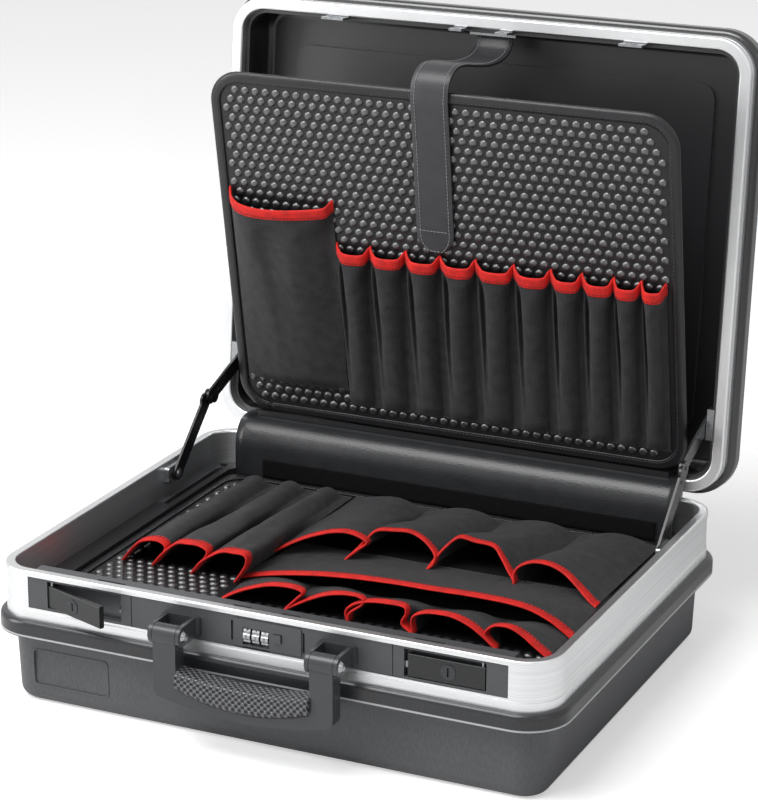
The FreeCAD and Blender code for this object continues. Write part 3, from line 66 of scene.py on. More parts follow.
# Materials
# Sockets by number where a node has several of one name: Map Range, then Mix between two colours and its result
FROM_LOW, FROM_HIGH, TO_LOW, TO_HIGH = 1, 2, 3, 4
FACTOR, FIRST, SECOND, MIXED = 0, 6, 7, 2


def linear(code):
    """An sRGB hex colour as linear light."""
    parts = [int(code[start:start + 2], 16) / 255 for start in (0, 2, 4)]
    return (*[part / 12.92 if part <= 0.04045 else ((part + 0.055) / 1.055) ** 2.4 for part in parts], 1)


def add(tree, kind, settings=None, links=None):
    """One node with its settings, on the node itself or on its sockets, and the outputs that feed it."""
    made = tree.nodes.new("ShaderNode" + kind)
    for key, value in (settings or {}).items():
        if isinstance(key, str) and hasattr(made, key):
            setattr(made, key, value)
        else:
            made.inputs[key].default_value = value
    for key, source in (links or {}).items():
        tree.links.new(source, made.inputs[key])
    return made.outputs


def finish_of(name, colour, roughness, **sockets):
    """A new material whose shader has the finish's uniform values set on its own sockets."""
    made = bpy.data.materials.new(name)
    made.use_nodes = True
    shader = made.node_tree.nodes["Principled BSDF"]
    shader.inputs["Base Color"].default_value = linear(colour)
    shader.inputs["Roughness"].default_value = roughness
    for key, value in sockets.items():
        shader.inputs[key.replace("_", " ")].default_value = value
    return made, made.node_tree, shader


def in_millimetres(tree, turn=(0, 0, 0), stretch=(1, 1, 1)):
    """Object coordinates in millimetres, turned onto the piece and stretched along its axes."""
    where = add(tree, "TexCoord")["Object"]
    turned = add(tree, "Mapping", {"Rotation": turn, "Scale": (1000, 1000, 1000)}, {"Vector": where})[0]
    return add(tree, "Mapping", {"Scale": stretch}, {"Vector": turned})[0]


def dress(tree, shader, factor, colours, relief, depth):
    """Two colours that run into each other by a factor, and a relief of a depth in millimetres."""
    first, second = colours
    mixed = add(tree, "Mix", {"data_type": "RGBA", FIRST: linear(first), SECOND: linear(second)}, {FACTOR: factor})
    bump = add(tree, "Bump", {"Distance": depth * MM, "Strength": 1}, {"Height": relief})
    tree.links.new(mixed[MIXED], shader.inputs["Base Color"])
    tree.links.new(bump[0], shader.inputs["Normal"])
    return mixed[MIXED]


BEAD_WIDTH = 14
# Colours of the painted shade on the bead and of the painted highlight along its lower edge
BEAD_PAINTED_SHADE, EDGE_PAINTED_HIGHLIGHT = "18191B", "C4C5C8"


def grained_abs(name, turn, bead, colours, gloss, depth=0.2, painted_highlight_strength=0.0, **sockets):
    """ABS sheet, vacuum formed over a spark-eroded tool: a matt mottle drawn down the walls, smoother on the bead and
    darkened there by painted shade, with a painted highlight along the bead's lower edge. The real grain is near 0.3
    mm, and is drawn 1.5 mm wide to show."""
    made, tree, shader = finish_of(name, colours[0], gloss, **sockets)
    whole = in_millimetres(tree, turn)
    drawn = in_millimetres(tree, turn, (1, 1, 0.35))
    fine = add(tree, "TexNoise", {"Scale": 1 / 1.5, "Detail": 3}, {"Vector": drawn})[0]
    broad = add(tree, "TexNoise", {"Scale": 1 / 60, "Detail": 2}, {"Vector": whole})[0]
    height = add(tree, "SeparateXYZ", links={0: whole})[2]
    # The last two ranges bound the painted highlight band just under the bead
    over, under, highlight_rise, highlight_fall = (
        add(tree, "MapRange", {FROM_LOW: bead + start, FROM_HIGH: bead + stop, TO_LOW: low, TO_HIGH: high},
            {0: height})[0]
        for start, stop, low, high in ((-1, 1, 0, 1), (BEAD_WIDTH - 1, BEAD_WIDTH + 1, 1, 0),
                                       (0.4, 0.9, 0, painted_highlight_strength), (1.8, 2.4, 1, 0)))
    on_bead = add(tree, "Math", {"operation": "MULTIPLY"}, {0: over, 1: under})[0]
    painted_highlight_share = add(tree, "Math", {"operation": "MULTIPLY"}, {0: highlight_rise, 1: highlight_fall})[0]
    grained = add(tree, "Math", {"operation": "SUBTRACT", 0: 1}, {1: on_bead})[0]
    rough = add(tree, "Math", {"operation": "MULTIPLY_ADD", 1: gloss * 0.55, 2: gloss * 0.6}, {0: grained})[0]
    relief = add(tree, "Math", {"operation": "MULTIPLY"}, {0: fine, 1: grained})[0]
    speckled = add(tree, "Math", {"operation": "MULTIPLY_ADD", 1: 0.6, 2: 0.1}, {0: fine})[0]
    mottled = add(tree, "Math", {"operation": "MULTIPLY_ADD", 1: 0.3}, {0: broad, 2: speckled})[0]
    skin = dress(tree, shader, mottled, colours, relief, depth)
    # Painted shade darkens the bead; a painted highlight lightens a band along its lower edge
    painted_bead_shade_share = add(tree, "Math", {"operation": "MULTIPLY", 1: 0.75}, {0: on_bead})[0]
    for factor, colour in ((painted_bead_shade_share, BEAD_PAINTED_SHADE), (painted_highlight_share, EDGE_PAINTED_HIGHLIGHT)):
        skin = add(tree, "Mix", {"data_type": "RGBA", SECOND: linear(colour)}, {FACTOR: factor, FIRST: skin})[MIXED]
    tree.links.new(skin, shader.inputs["Base Color"])
    tree.links.new(rough, shader.inputs["Roughness"])
    return made


def brushed_aluminium(name, turn):
    """Aluminium profile, brushed along its length and anodised: bright and satin, with hair-fine streaks round the
    case. The real streaks are near 0.1 mm, and are drawn about 0.5 mm wide to show."""
    made, tree, shader = finish_of(name, "E4E5E7", 0.34, Metallic=1.0)
    streaks = add(tree, "TexNoise", {"Scale": 1, "Detail": 4},
                  {"Vector": in_millimetres(tree, turn, (0.006, 0.006, 2.2))})[0]
    share, rough = (add(tree, "MapRange", {FROM_LOW: 0.3, FROM_HIGH: 0.7, TO_LOW: low, TO_HIGH: high}, {0: streaks})[0]
                    for low, high in ((0, 1), (0.34, 0.42)))
    dress(tree, shader, share, ("DADBDD", "F5F6F6"), streaks, 0.001)
    tree.links.new(rough, shader.inputs["Roughness"])
    return made


def satin_plastic(name, colours, roughness, size=0.9, depth=0.06, **sockets):
    """Moulded or drawn plastic: an even satin skin with a fine spark grain, size millimetres wide."""
    made, tree, shader = finish_of(name, colours[0], roughness, **sockets)
    fine = add(tree, "TexNoise", {"Scale": 1 / size, "Detail": 3}, {"Vector": in_millimetres(tree)})[0]
    dress(tree, shader, fine, colours, fine, depth)
    return made


def netted_rubber(name):
    """Soft rubber moulded with a raised net: ridges made pale by a painted highlight round hollows darkened by painted
    shade, lozenges about 4 mm across.
    """
    made, tree, shader = finish_of(name, "2A2A2B", 0.35)
    x, y, z = add(tree, "SeparateXYZ", links={0: in_millimetres(tree)})
    round_bar = add(tree, "Math", {"operation": "ADD"}, {0: y, 1: z})[0]
    flat = add(tree, "CombineXYZ", links={0: x, 1: round_bar})[0]
    turned = add(tree, "Mapping", {"Rotation": (0, 0, math.radians(45)), "Scale": (0.8, 0.8, 1)}, {"Vector": flat})[0]
    cells = add(tree, "TexVoronoi", {"voronoi_dimensions": "2D", "Scale": 0.33, "Randomness": 0}, {"Vector": turned})[0]
    ridge = add(tree, "MapRange", {FROM_LOW: 0.28, FROM_HIGH: 0.5, TO_LOW: 0, TO_HIGH: 1}, {0: cells})[0]
    # Pale ridges are a painted highlight, dark hollows are painted shade
    dress(tree, shader, ridge, ("050506", "6C6D70"), ridge, 1.0)
    return made


def plated_metal(name, colour, roughness):
    """Plated or polished metal: bright and smooth, with faint wear in its gloss, in patches of about 2 mm."""
    made, tree, shader = finish_of(name, colour, roughness, Metallic=1.0)
    wear = add(tree, "TexNoise", {"Scale": 1 / 2, "Detail": 3}, {"Vector": in_millimetres(tree)})[0]
    rough = add(tree, "MapRange", {FROM_LOW: 0.3, FROM_HIGH: 0.7, TO_LOW: roughness * 0.7, TO_HIGH: roughness * 1.5},
                {0: wear})[0]
    tree.links.new(rough, shader.inputs["Roughness"])
    return made


def leatherette(name, colours, roughness):
    """PVC-coated cloth with an embossed hide grain: satin, with small rounded cells about 1 mm wide."""
    made, tree, shader = finish_of(name, colours[0], roughness)
    whole = in_millimetres(tree)
    cells = add(tree, "TexVoronoi", {"feature": "SMOOTH_F1", "Scale": 0.9}, {"Vector": whole})[0]
    broad = add(tree, "TexNoise", {"Scale": 1 / 14, "Detail": 3}, {"Vector": whole})[0]
    dress(tree, shader, broad, colours, cells, 0.12)
    return made


def woven_cloth(name, colours, thread, depth, sheen):
    """Plain-woven polyester, laid out by the sheet's flat size in its UV map: a matt cloth with crossing threads.
    The real threads are near 0.5 mm, and are drawn thread millimetres wide to show."""
    made, tree, shader = finish_of(name, colours[0], 0.72, Sheen_Weight=sheen, Sheen_Roughness=0.45)
    where = add(tree, "UVMap", {"uv_map": "flat_mm"})[0]
    weft, warp = (add(tree, "TexWave", {"bands_direction": direction, "Scale": 0.314 / thread, "Distortion": 0.4,
                                        "Detail": 1}, {"Vector": where})[1] for direction in ("X", "Y"))
    crossed = add(tree, "Math", {"operation": "MAXIMUM"}, {0: weft, 1: warp})[0]
    broad = add(tree, "TexNoise", {"Scale": 1 / 9, "Detail": 3}, {"Vector": where})[0]
    tone = add(tree, "Math", {"operation": "MULTIPLY"}, {0: crossed, 1: broad})[0]
    share = add(tree, "MapRange", {FROM_LOW: 0.1, FROM_HIGH: 0.6, TO_LOW: 0, TO_HIGH: 1}, {0: tone})[0]
    dress(tree, shader, share, colours, crossed, depth)
    return made


def hook_tape(name):
    """Hook-and-loop tape: a dense matt pile of nylon hooks, in tufts of about 1 mm."""
    made, tree, shader = finish_of(name, "040405", 0.95, Sheen_Weight=0.03, Specular_IOR_Level=0.15)
    pile = add(tree, "TexNoise", {"Scale": 1 / 1.1, "Detail": 4}, {"Vector": in_millimetres(tree)})[0]
    share = add(tree, "MapRange", {FROM_LOW: 0.45, FROM_HIGH: 0.75, TO_LOW: 0, TO_HIGH: 1}, {0: pile})[0]
    dress(tree, shader, share, ("020203", "121214"), pile, 0.9)
    return made


# Formed ABS: the base is matt graphite, with a painted highlight along the lower edge of its bead; the lid is black
# with a smoother skin, which mirrors more of the room than bare ABS, so its IOR is higher; on both shells the bead is
# darkened by painted shade
BASE_BEAD, LID_BEAD, NO_BEAD = 60, 129, 200
lid_rise = (Matrix.Rotation(LID_TURN, 3, "X") @ HINGE - HINGE).z / MM
base_abs = grained_abs("ABS_moulded_base", (0, 0, 0), BASE_BEAD, ("2E2F31", "606164"), 0.4, 0.2, 0.8)
lid_abs = grained_abs("ABS_moulded_lid", (LID_TURN, 0, 0), LID_BEAD + lid_rise, ("101012", "242427"), 0.3, 0.03,
                      IOR=1.8)
tray_abs = grained_abs("ABS_moulded_tray_rim", (0, 0, 0), NO_BEAD, ("161618", "2C2C2E"), 0.34)

# Brushed and anodised aluminium: white metal with streaks that follow each rim
base_aluminium = brushed_aluminium("aluminium_brushed_base", (0, 0, 0))
lid_aluminium = brushed_aluminium("aluminium_brushed_lid", (LID_TURN, 0, 0))

# Injection-moulded polyamide: satin graphite on lock and handle, darker and glossier on the latches
lock_polyamide = satin_plastic("polyamide_satin", ("3A3B3D", "56575A"), 0.36)
latch_polyamide = satin_plastic("polyamide_latch", ("111213", "222325"), 0.28)
handle_polyamide = satin_plastic("polyamide_handle", ("2E2F31", "47484B"), 0.26)

# Soft rubber with a net: a painted highlight on its ridges and painted shade in its hollows
soft_grip = netted_rubber("rubber_netted_grip")

# Turned aluminium dials and the ink of their figures: soft silver with flat dark numbers
fine_silver = plated_metal("aluminium_turned", "B2B3B6", 0.3)
printed_black = satin_plastic("ink_printed", ("2A2A2C", "3C3C3E"), 0.5, 0.5, 0.01)

# Plated steel and zinc: chrome is bright and sharp, nickel greyer, black nickel a dark mirror, zinc a little dull
chrome = plated_metal("steel_chromed", "A9ABAD", 0.16)
nickel = plated_metal("zinc_nickel_plated", "8E8F91", 0.24)
black_nickel = plated_metal("zinc_black_nickel", "4A4B4D", 0.25)
zinc_plate = plated_metal("steel_zinc_plated", "A4A6A8", 0.3)

# Steel with a powder coat: black, with a close low sheen
black_steel = satin_plastic("steel_black_coated", ("141416", "222224"), 0.25, 0.5, 0.03)

# Embossed leatherette: soft black with broad highlights, greyer on the strap
cover_hide = leatherette("leatherette_cover", ("1C1D1F", "2D2E30"), 0.3)
strap_hide = leatherette("leatherette_strap", ("2B2B2D", "3D3D40"), 0.42)
binding_hide = leatherette("leatherette_board_binding", ("141416", "232326"), 0.36)

# Soft PVC foil: dull and flat between the bubbles, stretched glossy over them; the bubbles are coloured paler than the
# flat foil, a painted highlight where they catch the light
foil = satin_plastic("PVC_foil", ("101012", "1E1E20"), 0.42)
# Coloured paler than the flat foil: a painted highlight on the bubbles
bubble_foil_painted_highlight = satin_plastic("PVC_foil_bubbles_painted_highlight", ("1E1E20", "303033"), 0.33, 2.0, 0.02, IOR=2.2)

# Woven polyester: dull black cloth, and a strong red tape with fine ribs
pocket_polyester = woven_cloth("polyester_600D", ("080809", "333336"), 1.7, 0.3, 0.06)
red_tape = woven_cloth("polyester_tape_red", ("9E0703", "F01A0C"), 1.3, 0.2, 0.03)

# Nylon hooks: the blackest surface, with no gloss
hooks = hook_tape("nylon_hook_and_loop")

# Twisted polyester thread: dull, a little darker or paler than the cloth it sews
red_thread, black_thread, grey_thread = (satin_plastic("polyester_thread_" + name, colours, 0.6, 0.4, 0.05)
                                         for name, colours in (("red", ("5E0807", "86100D")),
                                                               ("black", ("2A2A2C", "48484B")),
                                                               ("grey", ("7A7A7E", "A4A4A8"))))


def coat(material, *names):
    """Gives a finish to CAD nodes through their objects' own material slots."""
    for name in names:
        if not nodes[name].material_slots:
            nodes[name].data.materials.append(material)
        for place in nodes[name].material_slots:
            place.material = material


coat(base_abs, "base_shell")
coat(tray_abs, "base_tray_rim")
coat(lid_abs, "lid_shell")
coat(base_aluminium, "base_frame")
coat(lid_aluminium, "lid_frame")
coat(lock_polyamide, "lock_strip", "lock_case", "combination_plate", "lock_button")
coat(latch_polyamide, "latch_left", "latch_right", "board_rail")
coat(handle_polyamide, "handle_frame", "handle_brackets")
coat(soft_grip, "handle_grip")
coat(fine_silver, "dial_left", "dial_middle", "dial_right")
coat(chrome, "handle_pins", "dial_axle")
coat(nickel, "latch_catches", "latch_pins")
coat(black_nickel, "key_cylinder_left", "key_cylinder_right")
coat(zinc_plate, "hinge_base_leaf", "hinge_lid_leaf", "hinge_pin", "stay_base_brackets", "stay_lid_brackets",
     "latch_strikes", "lock_strikes", "strap_anchor")
coat(black_steel, "stay_left_lower", "stay_left_upper", "stay_right_lower", "stay_right_upper")
coat(foil, "lid_board", "base_board")


# Shaping
def nothing_selected():
    """Object mode with nothing selected, so that the next operator acts on its own piece alone."""
    if bpy.context.mode != "OBJECT":
        bpy.ops.object.mode_set(mode="OBJECT")
    bpy.ops.object.select_all(action="DESELECT")


def only(piece):
    """One piece selected and active."""
    nothing_selected()
    piece.select_set(True)
    bpy.context.view_layer.objects.active = piece


def shade_smooth(piece, angle=None):
    """Smooth shading all over, or only where faces meet at less than an angle in degrees."""
    only(piece)
    if angle is None:
        bpy.ops.object.shade_smooth()
    else:
        bpy.ops.object.shade_smooth_by_angle(angle=math.radians(angle))


def apply_modifier(piece, kind, **settings):
    """Adds a modifier with its settings and applies it."""
    only(piece)
    made = piece.modifiers.new(kind.lower(), kind)
    for key, value in settings.items():
        setattr(made, key, value)
    bpy.ops.object.modifier_apply(modifier=made.name)


def many(name, pattern, places):
    """One piece made of copies of a modelled mesh, one at each place."""
    points = np.array([tuple(vertex.co) for vertex in pattern.vertices])
    faces = [list(polygon.vertices) for polygon in pattern.polygons]
    all_points = []
    all_faces = []
    for number, place in enumerate(places):
        matrix = np.array(place)
        all_points.append(points @ matrix[:3, :3].T + matrix[:3, 3])
        shift = number * len(points)
        all_faces += [[corner + shift for corner in face] for face in faces]
    mesh = bpy.data.meshes.new(name)
    mesh.from_pydata(np.concatenate(all_points).tolist(), [], all_faces)
    piece = bpy.data.objects.new(name, mesh)
    scene.collection.objects.link(piece)
    return piece


def finish(piece, material, body, slot, *replaced):
    """Gives a new piece its finish, its body and the CAD nodes that it stands for."""
    piece.data.materials.clear()
    piece.data.materials.append(material)
    if body:
        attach(piece, body)
    if replaced:
        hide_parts(*replaced)
    return piece


def along(points, share):
    """The place at a share of the way along the smooth curve through points, which are pairs or threes."""
    spot = min(share, 0.999999) * (len(points) - 1)
    number = int(spot)
    run = spot - number
    last = len(points) - 1
    before, start, end, after = (points[min(max(number + step, 0), last)] for step in (-1, 0, 1, 2))
    return [0.5 * (2 * b + (c - a) * run + (2 * a - 5 * b + 4 * c - d) * run ** 2
                   + (3 * b - a - 3 * c + d) * run ** 3) for a, b, c, d in zip(before, start, end, after)]


def cloth_grid(name, columns, rows, skin):
    """A sheet whose points skin(across, up) places, with its developed size in millimetres as its UV map."""
    nothing_selected()
    bpy.ops.mesh.primitive_grid_add(x_subdivisions=columns, y_subdivisions=rows, size=1)
    sheet = bpy.context.object
    sheet.name = sheet.data.name = name
    grid = np.zeros((rows + 1, columns + 1, 3))
    spots = []
    for vertex in sheet.data.vertices:
        column, row = round((vertex.co.x + 0.5) * columns), round((vertex.co.y + 0.5) * rows)
        vertex.co = skin(column / columns, row / rows)
        grid[row, column] = vertex.co
        spots.append((column, row))
    across = np.linalg.norm(np.diff(grid, axis=1), axis=2).mean(axis=0).cumsum()
    up = np.linalg.norm(np.diff(grid, axis=0), axis=2).mean(axis=1).cumsum()
    across, up = np.append(0, across), np.append(0, up)
    layer = sheet.data.uv_layers[0]
    layer.name = "flat_mm"
    for loop in sheet.data.loops:
        column, row = spots[loop.vertex_index]
        layer.data[loop.index].uv = (across[column] / MM, up[row] / MM)
    return sheet, (float(across[-1]), float(up[-1]))


def thicken(sheet, thickness):
    """Gives a sheet its thickness, half to each side."""
    apply_modifier(sheet, "SOLIDIFY", thickness=thickness, offset=0, use_even_offset=False)
    shade_smooth(sheet)


def seat(piece, place):
    """Moves a piece's mesh to its place, and leaves its object at the origin."""
    piece.data.transform(place)
    piece.data.update()
    return piece


# Stitches
THREAD_RADIUS, STITCH_LENGTH = 0.3 * MM, 2.6 * MM


def model_stitch():
    """One lock stitch: a short thread, round in section, that dives into the cloth at both ends."""
    nothing_selected()
    bpy.ops.mesh.primitive_circle_add(vertices=6, radius=THREAD_RADIUS * 0.5, location=(-STITCH_LENGTH / 2, 0, 0),
                                      rotation=(0, math.pi / 2, 0), fill_type="NGON")
    stitch = bpy.context.object
    bpy.ops.object.transform_apply(location=True, rotation=True, scale=True)
    bpy.ops.object.mode_set(mode="EDIT")
    bpy.ops.mesh.select_all(action="SELECT")
    for run, rise, swell in ((0.3, 0.9, 2.0), (0.4, 0.0, 1.0), (0.3, -0.9, 0.5)):
        bpy.ops.mesh.extrude_region_move(TRANSFORM_OT_translate={
            "value": (STITCH_LENGTH * run, 0, THREAD_RADIUS * rise)})
        bpy.ops.transform.resize(value=(1, swell, swell))
    bpy.ops.mesh.select_all(action="SELECT")
    bpy.ops.mesh.normals_make_consistent(inside=False)
    bpy.ops.object.mode_set(mode="OBJECT")
    pattern = stitch.data.copy()
    bpy.data.objects.remove(stitch)
    return pattern


stitch_pattern = model_stitch()


def sew(name, route, outward, pitch=3.4 * MM):
    """Stitches along a route of points, each lying on the skin that faces outward there."""
    places = []
    ahead = 0.0
    for start, end, facing in zip(route, route[1:], outward):
        run = (end - start).length
        if run < 1e-9:
            continue
        along_run = (end - start) / run
        side = facing.cross(along_run).normalized()
        up = along_run.cross(side)
        while ahead < run:
            turn = Matrix((along_run, side, up)).transposed().to_4x4()
            places.append(Matrix.Translation(start + along_run * ahead) @ turn)
            ahead += pitch
        ahead -= run
    piece = many(name, stitch_pattern, places)
    shade_smooth(piece)
    return piece


# Bubble foil on both boards
BUBBLE_ACROSS, BUBBLE_UP = 9.45 * MM, 8.4 * MM
BUBBLE_RADIUS, BUBBLE_RISE = 3.7 * MM, 1.9 * MM


def model_bubble():
    """One bubble of the foil: a low cap, open below, with a rounded crown."""
    nothing_selected()
    bpy.ops.mesh.primitive_circle_add(vertices=12, radius=BUBBLE_RADIUS, fill_type="NOTHING")
    bubble = bpy.context.object
    bpy.ops.object.mode_set(mode="EDIT")
    bpy.ops.mesh.select_all(action="SELECT")
    for rise, swell in ((0.45, 0.9), (0.32, 0.76), (0.16, 0.6)):
        bpy.ops.mesh.extrude_region_move(TRANSFORM_OT_translate={"value": (0, 0, BUBBLE_RISE * rise)})
        bpy.ops.transform.resize(value=(swell, swell, 1))
    bpy.ops.mesh.edge_face_add()
    bpy.ops.mesh.poke(offset=BUBBLE_RISE * 0.07)
    bpy.ops.mesh.select_all(action="SELECT")
    bpy.ops.mesh.normals_make_consistent(inside=False)
    bpy.ops.object.mode_set(mode="OBJECT")
    pattern = bubble.data.copy()
    bpy.data.objects.remove(bubble)
    return pattern


def foil_bubbles(name, low, high, corner, covered, place, body, slot):
    """Staggered rows of bubbles over a board, apart from where cloth is sewn down on it."""
    places = []
    rows = int((high[1] - low[1]) / BUBBLE_UP)
    columns = int((high[0] - low[0]) / BUBBLE_ACROSS) + 1
    start = low[0] + ((high[0] - low[0]) - (columns - 1) * BUBBLE_ACROSS) / 2
    for row in range(rows + 1):
        y = low[1] + row * BUBBLE_UP + ((high[1] - low[1]) - rows * BUBBLE_UP) / 2
        for column in range(columns):
            x = start + (column + row % 2 / 2 - 0.25) * BUBBLE_ACROSS
            past_x = max(low[0] + corner - x, x - high[0] + corner, 0)
            past_y = max(low[1] + corner - y, y - high[1] + corner, 0)
            if math.hypot(past_x, past_y) > corner:
                continue
            if any(left < x < right and below < y < above for left, below, right, above in covered):
                continue
            places.append(Matrix.Translation((x, y, 0)))
    piece = many(name, model_bubble(), places)
    shade_smooth(piece)
    return finish(seat(piece, place), bubble_foil_painted_highlight, body, slot)


def area_mm(*corners):
    """Corners given in millimetres, in metres."""
    return [value * MM for value in corners]


foil_bubbles("lid_board_bubbles", area_mm(-192, 13), area_mm(192, 302), 17 * MM,
             [area_mm(-196, 36, -99, 190), area_mm(-99, 22, 193, 158)], lid_board_place, "lid_board", "bubble_board")
foil_bubbles("base_board_bubbles", area_mm(-192, -147), area_mm(192, 146), 17 * MM,
             [area_mm(-186, -56, -81, 148), area_mm(-84, -96, 199, 148)], base_board_place, "base_board",
             "bubble_board")


# Sewn pockets: the section of a sleeve as shares of its pitch and of its rise, from seam to seam
PLEATED_MOUTH = ((0, 0.04), (0.03, 0.24), (0.07, 0.38), (0.12, 0.52), (0.18, 0.68), (0.26, 0.87), (0.38, 0.98),
                 (0.52, 1.02), (0.68, 1.0), (0.82, 0.95), (0.92, 0.78), (0.95, 0.30), (1, 0.04))
PLEATED_BELLY = ((0, 0.04), (0.03, 0.42), (0.08, 0.56), (0.13, 0.14), (0.20, 0.18), (0.25, 0.76), (0.34, 1.0),
                 (0.47, 1.08), (0.60, 1.0), (0.71, 0.76), (0.79, 0.34), (0.86, 0.06), (1, 0.04))
PLEATED_END = ((0, 0.04), (0.03, 0.3), (0.07, 0.5), (0.12, 0.66), (0.18, 0.8), (0.26, 0.92), (0.36, 1.0),
               (0.48, 1.0), (0.58, 0.86), (0.67, 0.56), (0.73, 0.24), (0.78, 0.05), (1, 0.04))
SCOOPED_MOUTH = ((0, 0.04), (0.02, 0.27), (0.06, 0.55), (0.14, 0.82), (0.27, 0.97), (0.42, 1.0), (0.57, 0.95),
                 (0.70, 0.85), (0.82, 0.73), (0.91, 0.62), (0.965, 0.48), (0.985, 0.2), (1, 0.04))
SCOOPED_BELLY = ((0, 0.04), (0.03, 0.35), (0.08, 0.66), (0.16, 0.9), (0.26, 1.0), (0.36, 0.86), (0.47, 0.94),
                 (0.58, 1.06), (0.69, 0.92), (0.79, 0.62), (0.88, 0.3), (0.94, 0.1), (1, 0.04))
ROUND_END = ((0, 0.04), (0.07, 0.24), (0.16, 0.46), (0.26, 0.66), (0.36, 0.84), (0.46, 0.96), (0.56, 1.0),
             (0.66, 0.97), (0.76, 0.84), (0.85, 0.62), (0.92, 0.36), (0.97, 0.16), (1, 0.04))
NARROW_END = ((0, 0.04), (0.05, 0.16), (0.11, 0.42), (0.19, 0.68), (0.28, 0.88), (0.39, 1.0), (0.50, 1.0),
              (0.60, 0.86), (0.68, 0.58), (0.74, 0.28), (0.79, 0.08), (0.88, 0.04), (1, 0.04))
TAPE_OUTSIDE, TAPE_INSIDE = 9.5 * MM, 7 * MM
CLOTH_THICKNESS, TAPE_THICKNESS = 0.6 * MM, 0.5 * MM

# Mouths of the lower board's sleeves, each with its own slump: points across and up, in millimetres
LEFT_MOUTHS = (
    ((-186, 0.6), (-178, 11), (-171, 18), (-162, 21.5), (-153, 22), (-147, 19), (-148.5, 13), (-157.5, 1.5)),
    ((-157.5, 1.5), (-149, 12), (-137, 22), (-126, 25), (-116, 25.5), (-108, 22), (-111, 14), (-121, 1.5)),
    ((-121, 1.5), (-113, 12), (-102, 20), (-93, 23.5), (-84, 24.5), (-73, 24), (-72, 16), (-81, 1.5)))
REAR_MOUTHS = (
    ((-86, 0.6), (-77, 4.9), (-66, 10.6), (-52, 16.3), (-37, 20.4), (-23, 21.3), (-11, 18.8), (-7, 15.5),
     (-13, 9.8), (-22, 1.5)),
    ((-22, 1.5), (-15, 9), (-9, 17.2), (-3, 22.9), (10, 24.5), (25, 24.9), (39, 20.4), (50, 12.3), (50, 4.9),
     (46, 1.5)),
    ((46, 1.5), (51, 9.8), (57, 18), (66, 24.9), (80, 24.1), (96, 23.3), (105, 17.2), (114, 9), (119, 4.9),
     (121, 1.5)),
    ((121, 1.5), (119, 9), (123, 14.7), (133, 18.8), (147, 19.6), (161, 16.7), (174, 10.6), (184, 5.3), (191, 2),
     (196, 0.6)))
LONG_MOUTHS = (
    ((-84, 0.6), (-73, 4), (-48, 9.5), (-14, 14.5), (19, 17.5), (52, 19), (84, 19), (116, 19.5), (146, 19),
     (166, 16.5), (182, 11), (193, 5), (200, 0.6)),)
FRONT_MOUTHS = (
    ((-75, 0.6), (-67, 6), (-54, 12.5), (-36, 18.5), (-21, 20.5), (-9, 20), (-5, 17.5), (-10, 12), (-20, 1.5)),
    ((-20, 1.5), (-6, 10), (11, 18), (27, 22.5), (40, 23.5), (47, 21), (45, 16.5), (36, 9), (35, 1.5)),
    ((35, 1.5), (33, 10), (39, 16), (50, 20), (65, 21.5), (81, 21.5), (83, 16), (80, 8), (90, 1.5)),
    ((90, 1.5), (88, 10), (90, 16), (101, 20), (119, 20.5), (134, 16.5), (146, 10), (153, 5), (158, 1.5)),
    ((158, 1.5), (148, 11), (152, 18), (160, 20.5), (168, 20), (178, 15.5), (188, 9), (196, 4), (201, 0.6)))


def eased(value):
    """A share from 0 to 1 that starts and ends slowly."""
    value = min(max(value, 0), 1)
    return value * value * (3 - 2 * value)


def spread_out(shares, seams, rise):
    """A sleeve's section in shares, laid between each pair of seams."""
    return [[(start + (stop - start) * x, z * rise) for x, z in shares] for start, stop in zip(seams, seams[1:])]


def sleeve_skin(seams, foot, mouth_edge, lift, end_rise, mouths, bellies, end, sag, folds, seed):
    """Where the cloth of a row of sleeves lies on its board, from seam to seam and from foot to mouth."""
    count = len(mouths)
    highest = max(z for sleeve in mouths for x, z in sleeve)

    def skin(across, up):
        spot = min(across * count, count - 1e-6)
        number = int(spot)
        run = spot - number
        start, stop = seams[number], seams[number + 1]
        mouth = mouth_edge[number] + (mouth_edge[number + 1] - mouth_edge[number]) * run
        open_x, open_z = along(mouths[number], run)
        shut_x, shut_z = along(end, run)
        foot_x, foot_z = start + (stop - start) * shut_x, end_rise * shut_z
        if bellies:
            slack = 1 - eased((up - 0.8) / 0.17)
            belly_x, belly_z = along(bellies[number], run)
            open_x += (belly_x - open_x) * slack
            open_z += (belly_z - open_z) * slack
        opened_up = eased(up * 1.1 - 0.1)
        x = foot_x + (open_x - foot_x) * opened_up
        z = foot_z + (open_z - foot_z) * eased(up)
        z *= eased(up * abs(mouth - foot) / 9)
        full = min(z / highest, 1)
        length = abs(mouth - foot)
        ripple = noise.noise(Vector((run * 2.6 + number * 5.3, up * length / 60, seed)))
        drift = noise.noise(Vector((number * 7.3, up * length / 80, seed + 4)))
        crease = noise.noise(Vector((run * 5.5 + up * 1.5, number * 3.1 + up * length / 26, seed + 8)))
        taut = 1 - 0.6 * eased((up - 0.85) / 0.15)
        x += drift * 3.2 * full * taut
        z += (ripple * 2.2 + crease * 1.0) * folds * full * taut
        y = foot + (mouth - foot) * up - math.copysign(sag, mouth - foot) * full * up ** 3
        return Vector((x, y, max(z, 0.1) + lift)) * MM

    return skin


def skin_normal(skin, across, up, toward):
    """Which way a sleeve's cloth faces; toward is the sign of the way from its foot to its mouth."""
    step = 0.002
    low, high = max(across - step, 0), min(across + step, 1)
    level = skin(high, up) - skin(low, up)
    steep = skin(across, up) - skin(across, up - 0.01)
    facing = level.cross(steep) * toward
    return facing.normalized() if facing.length > 1e-12 else Vector((0, 0, 1))


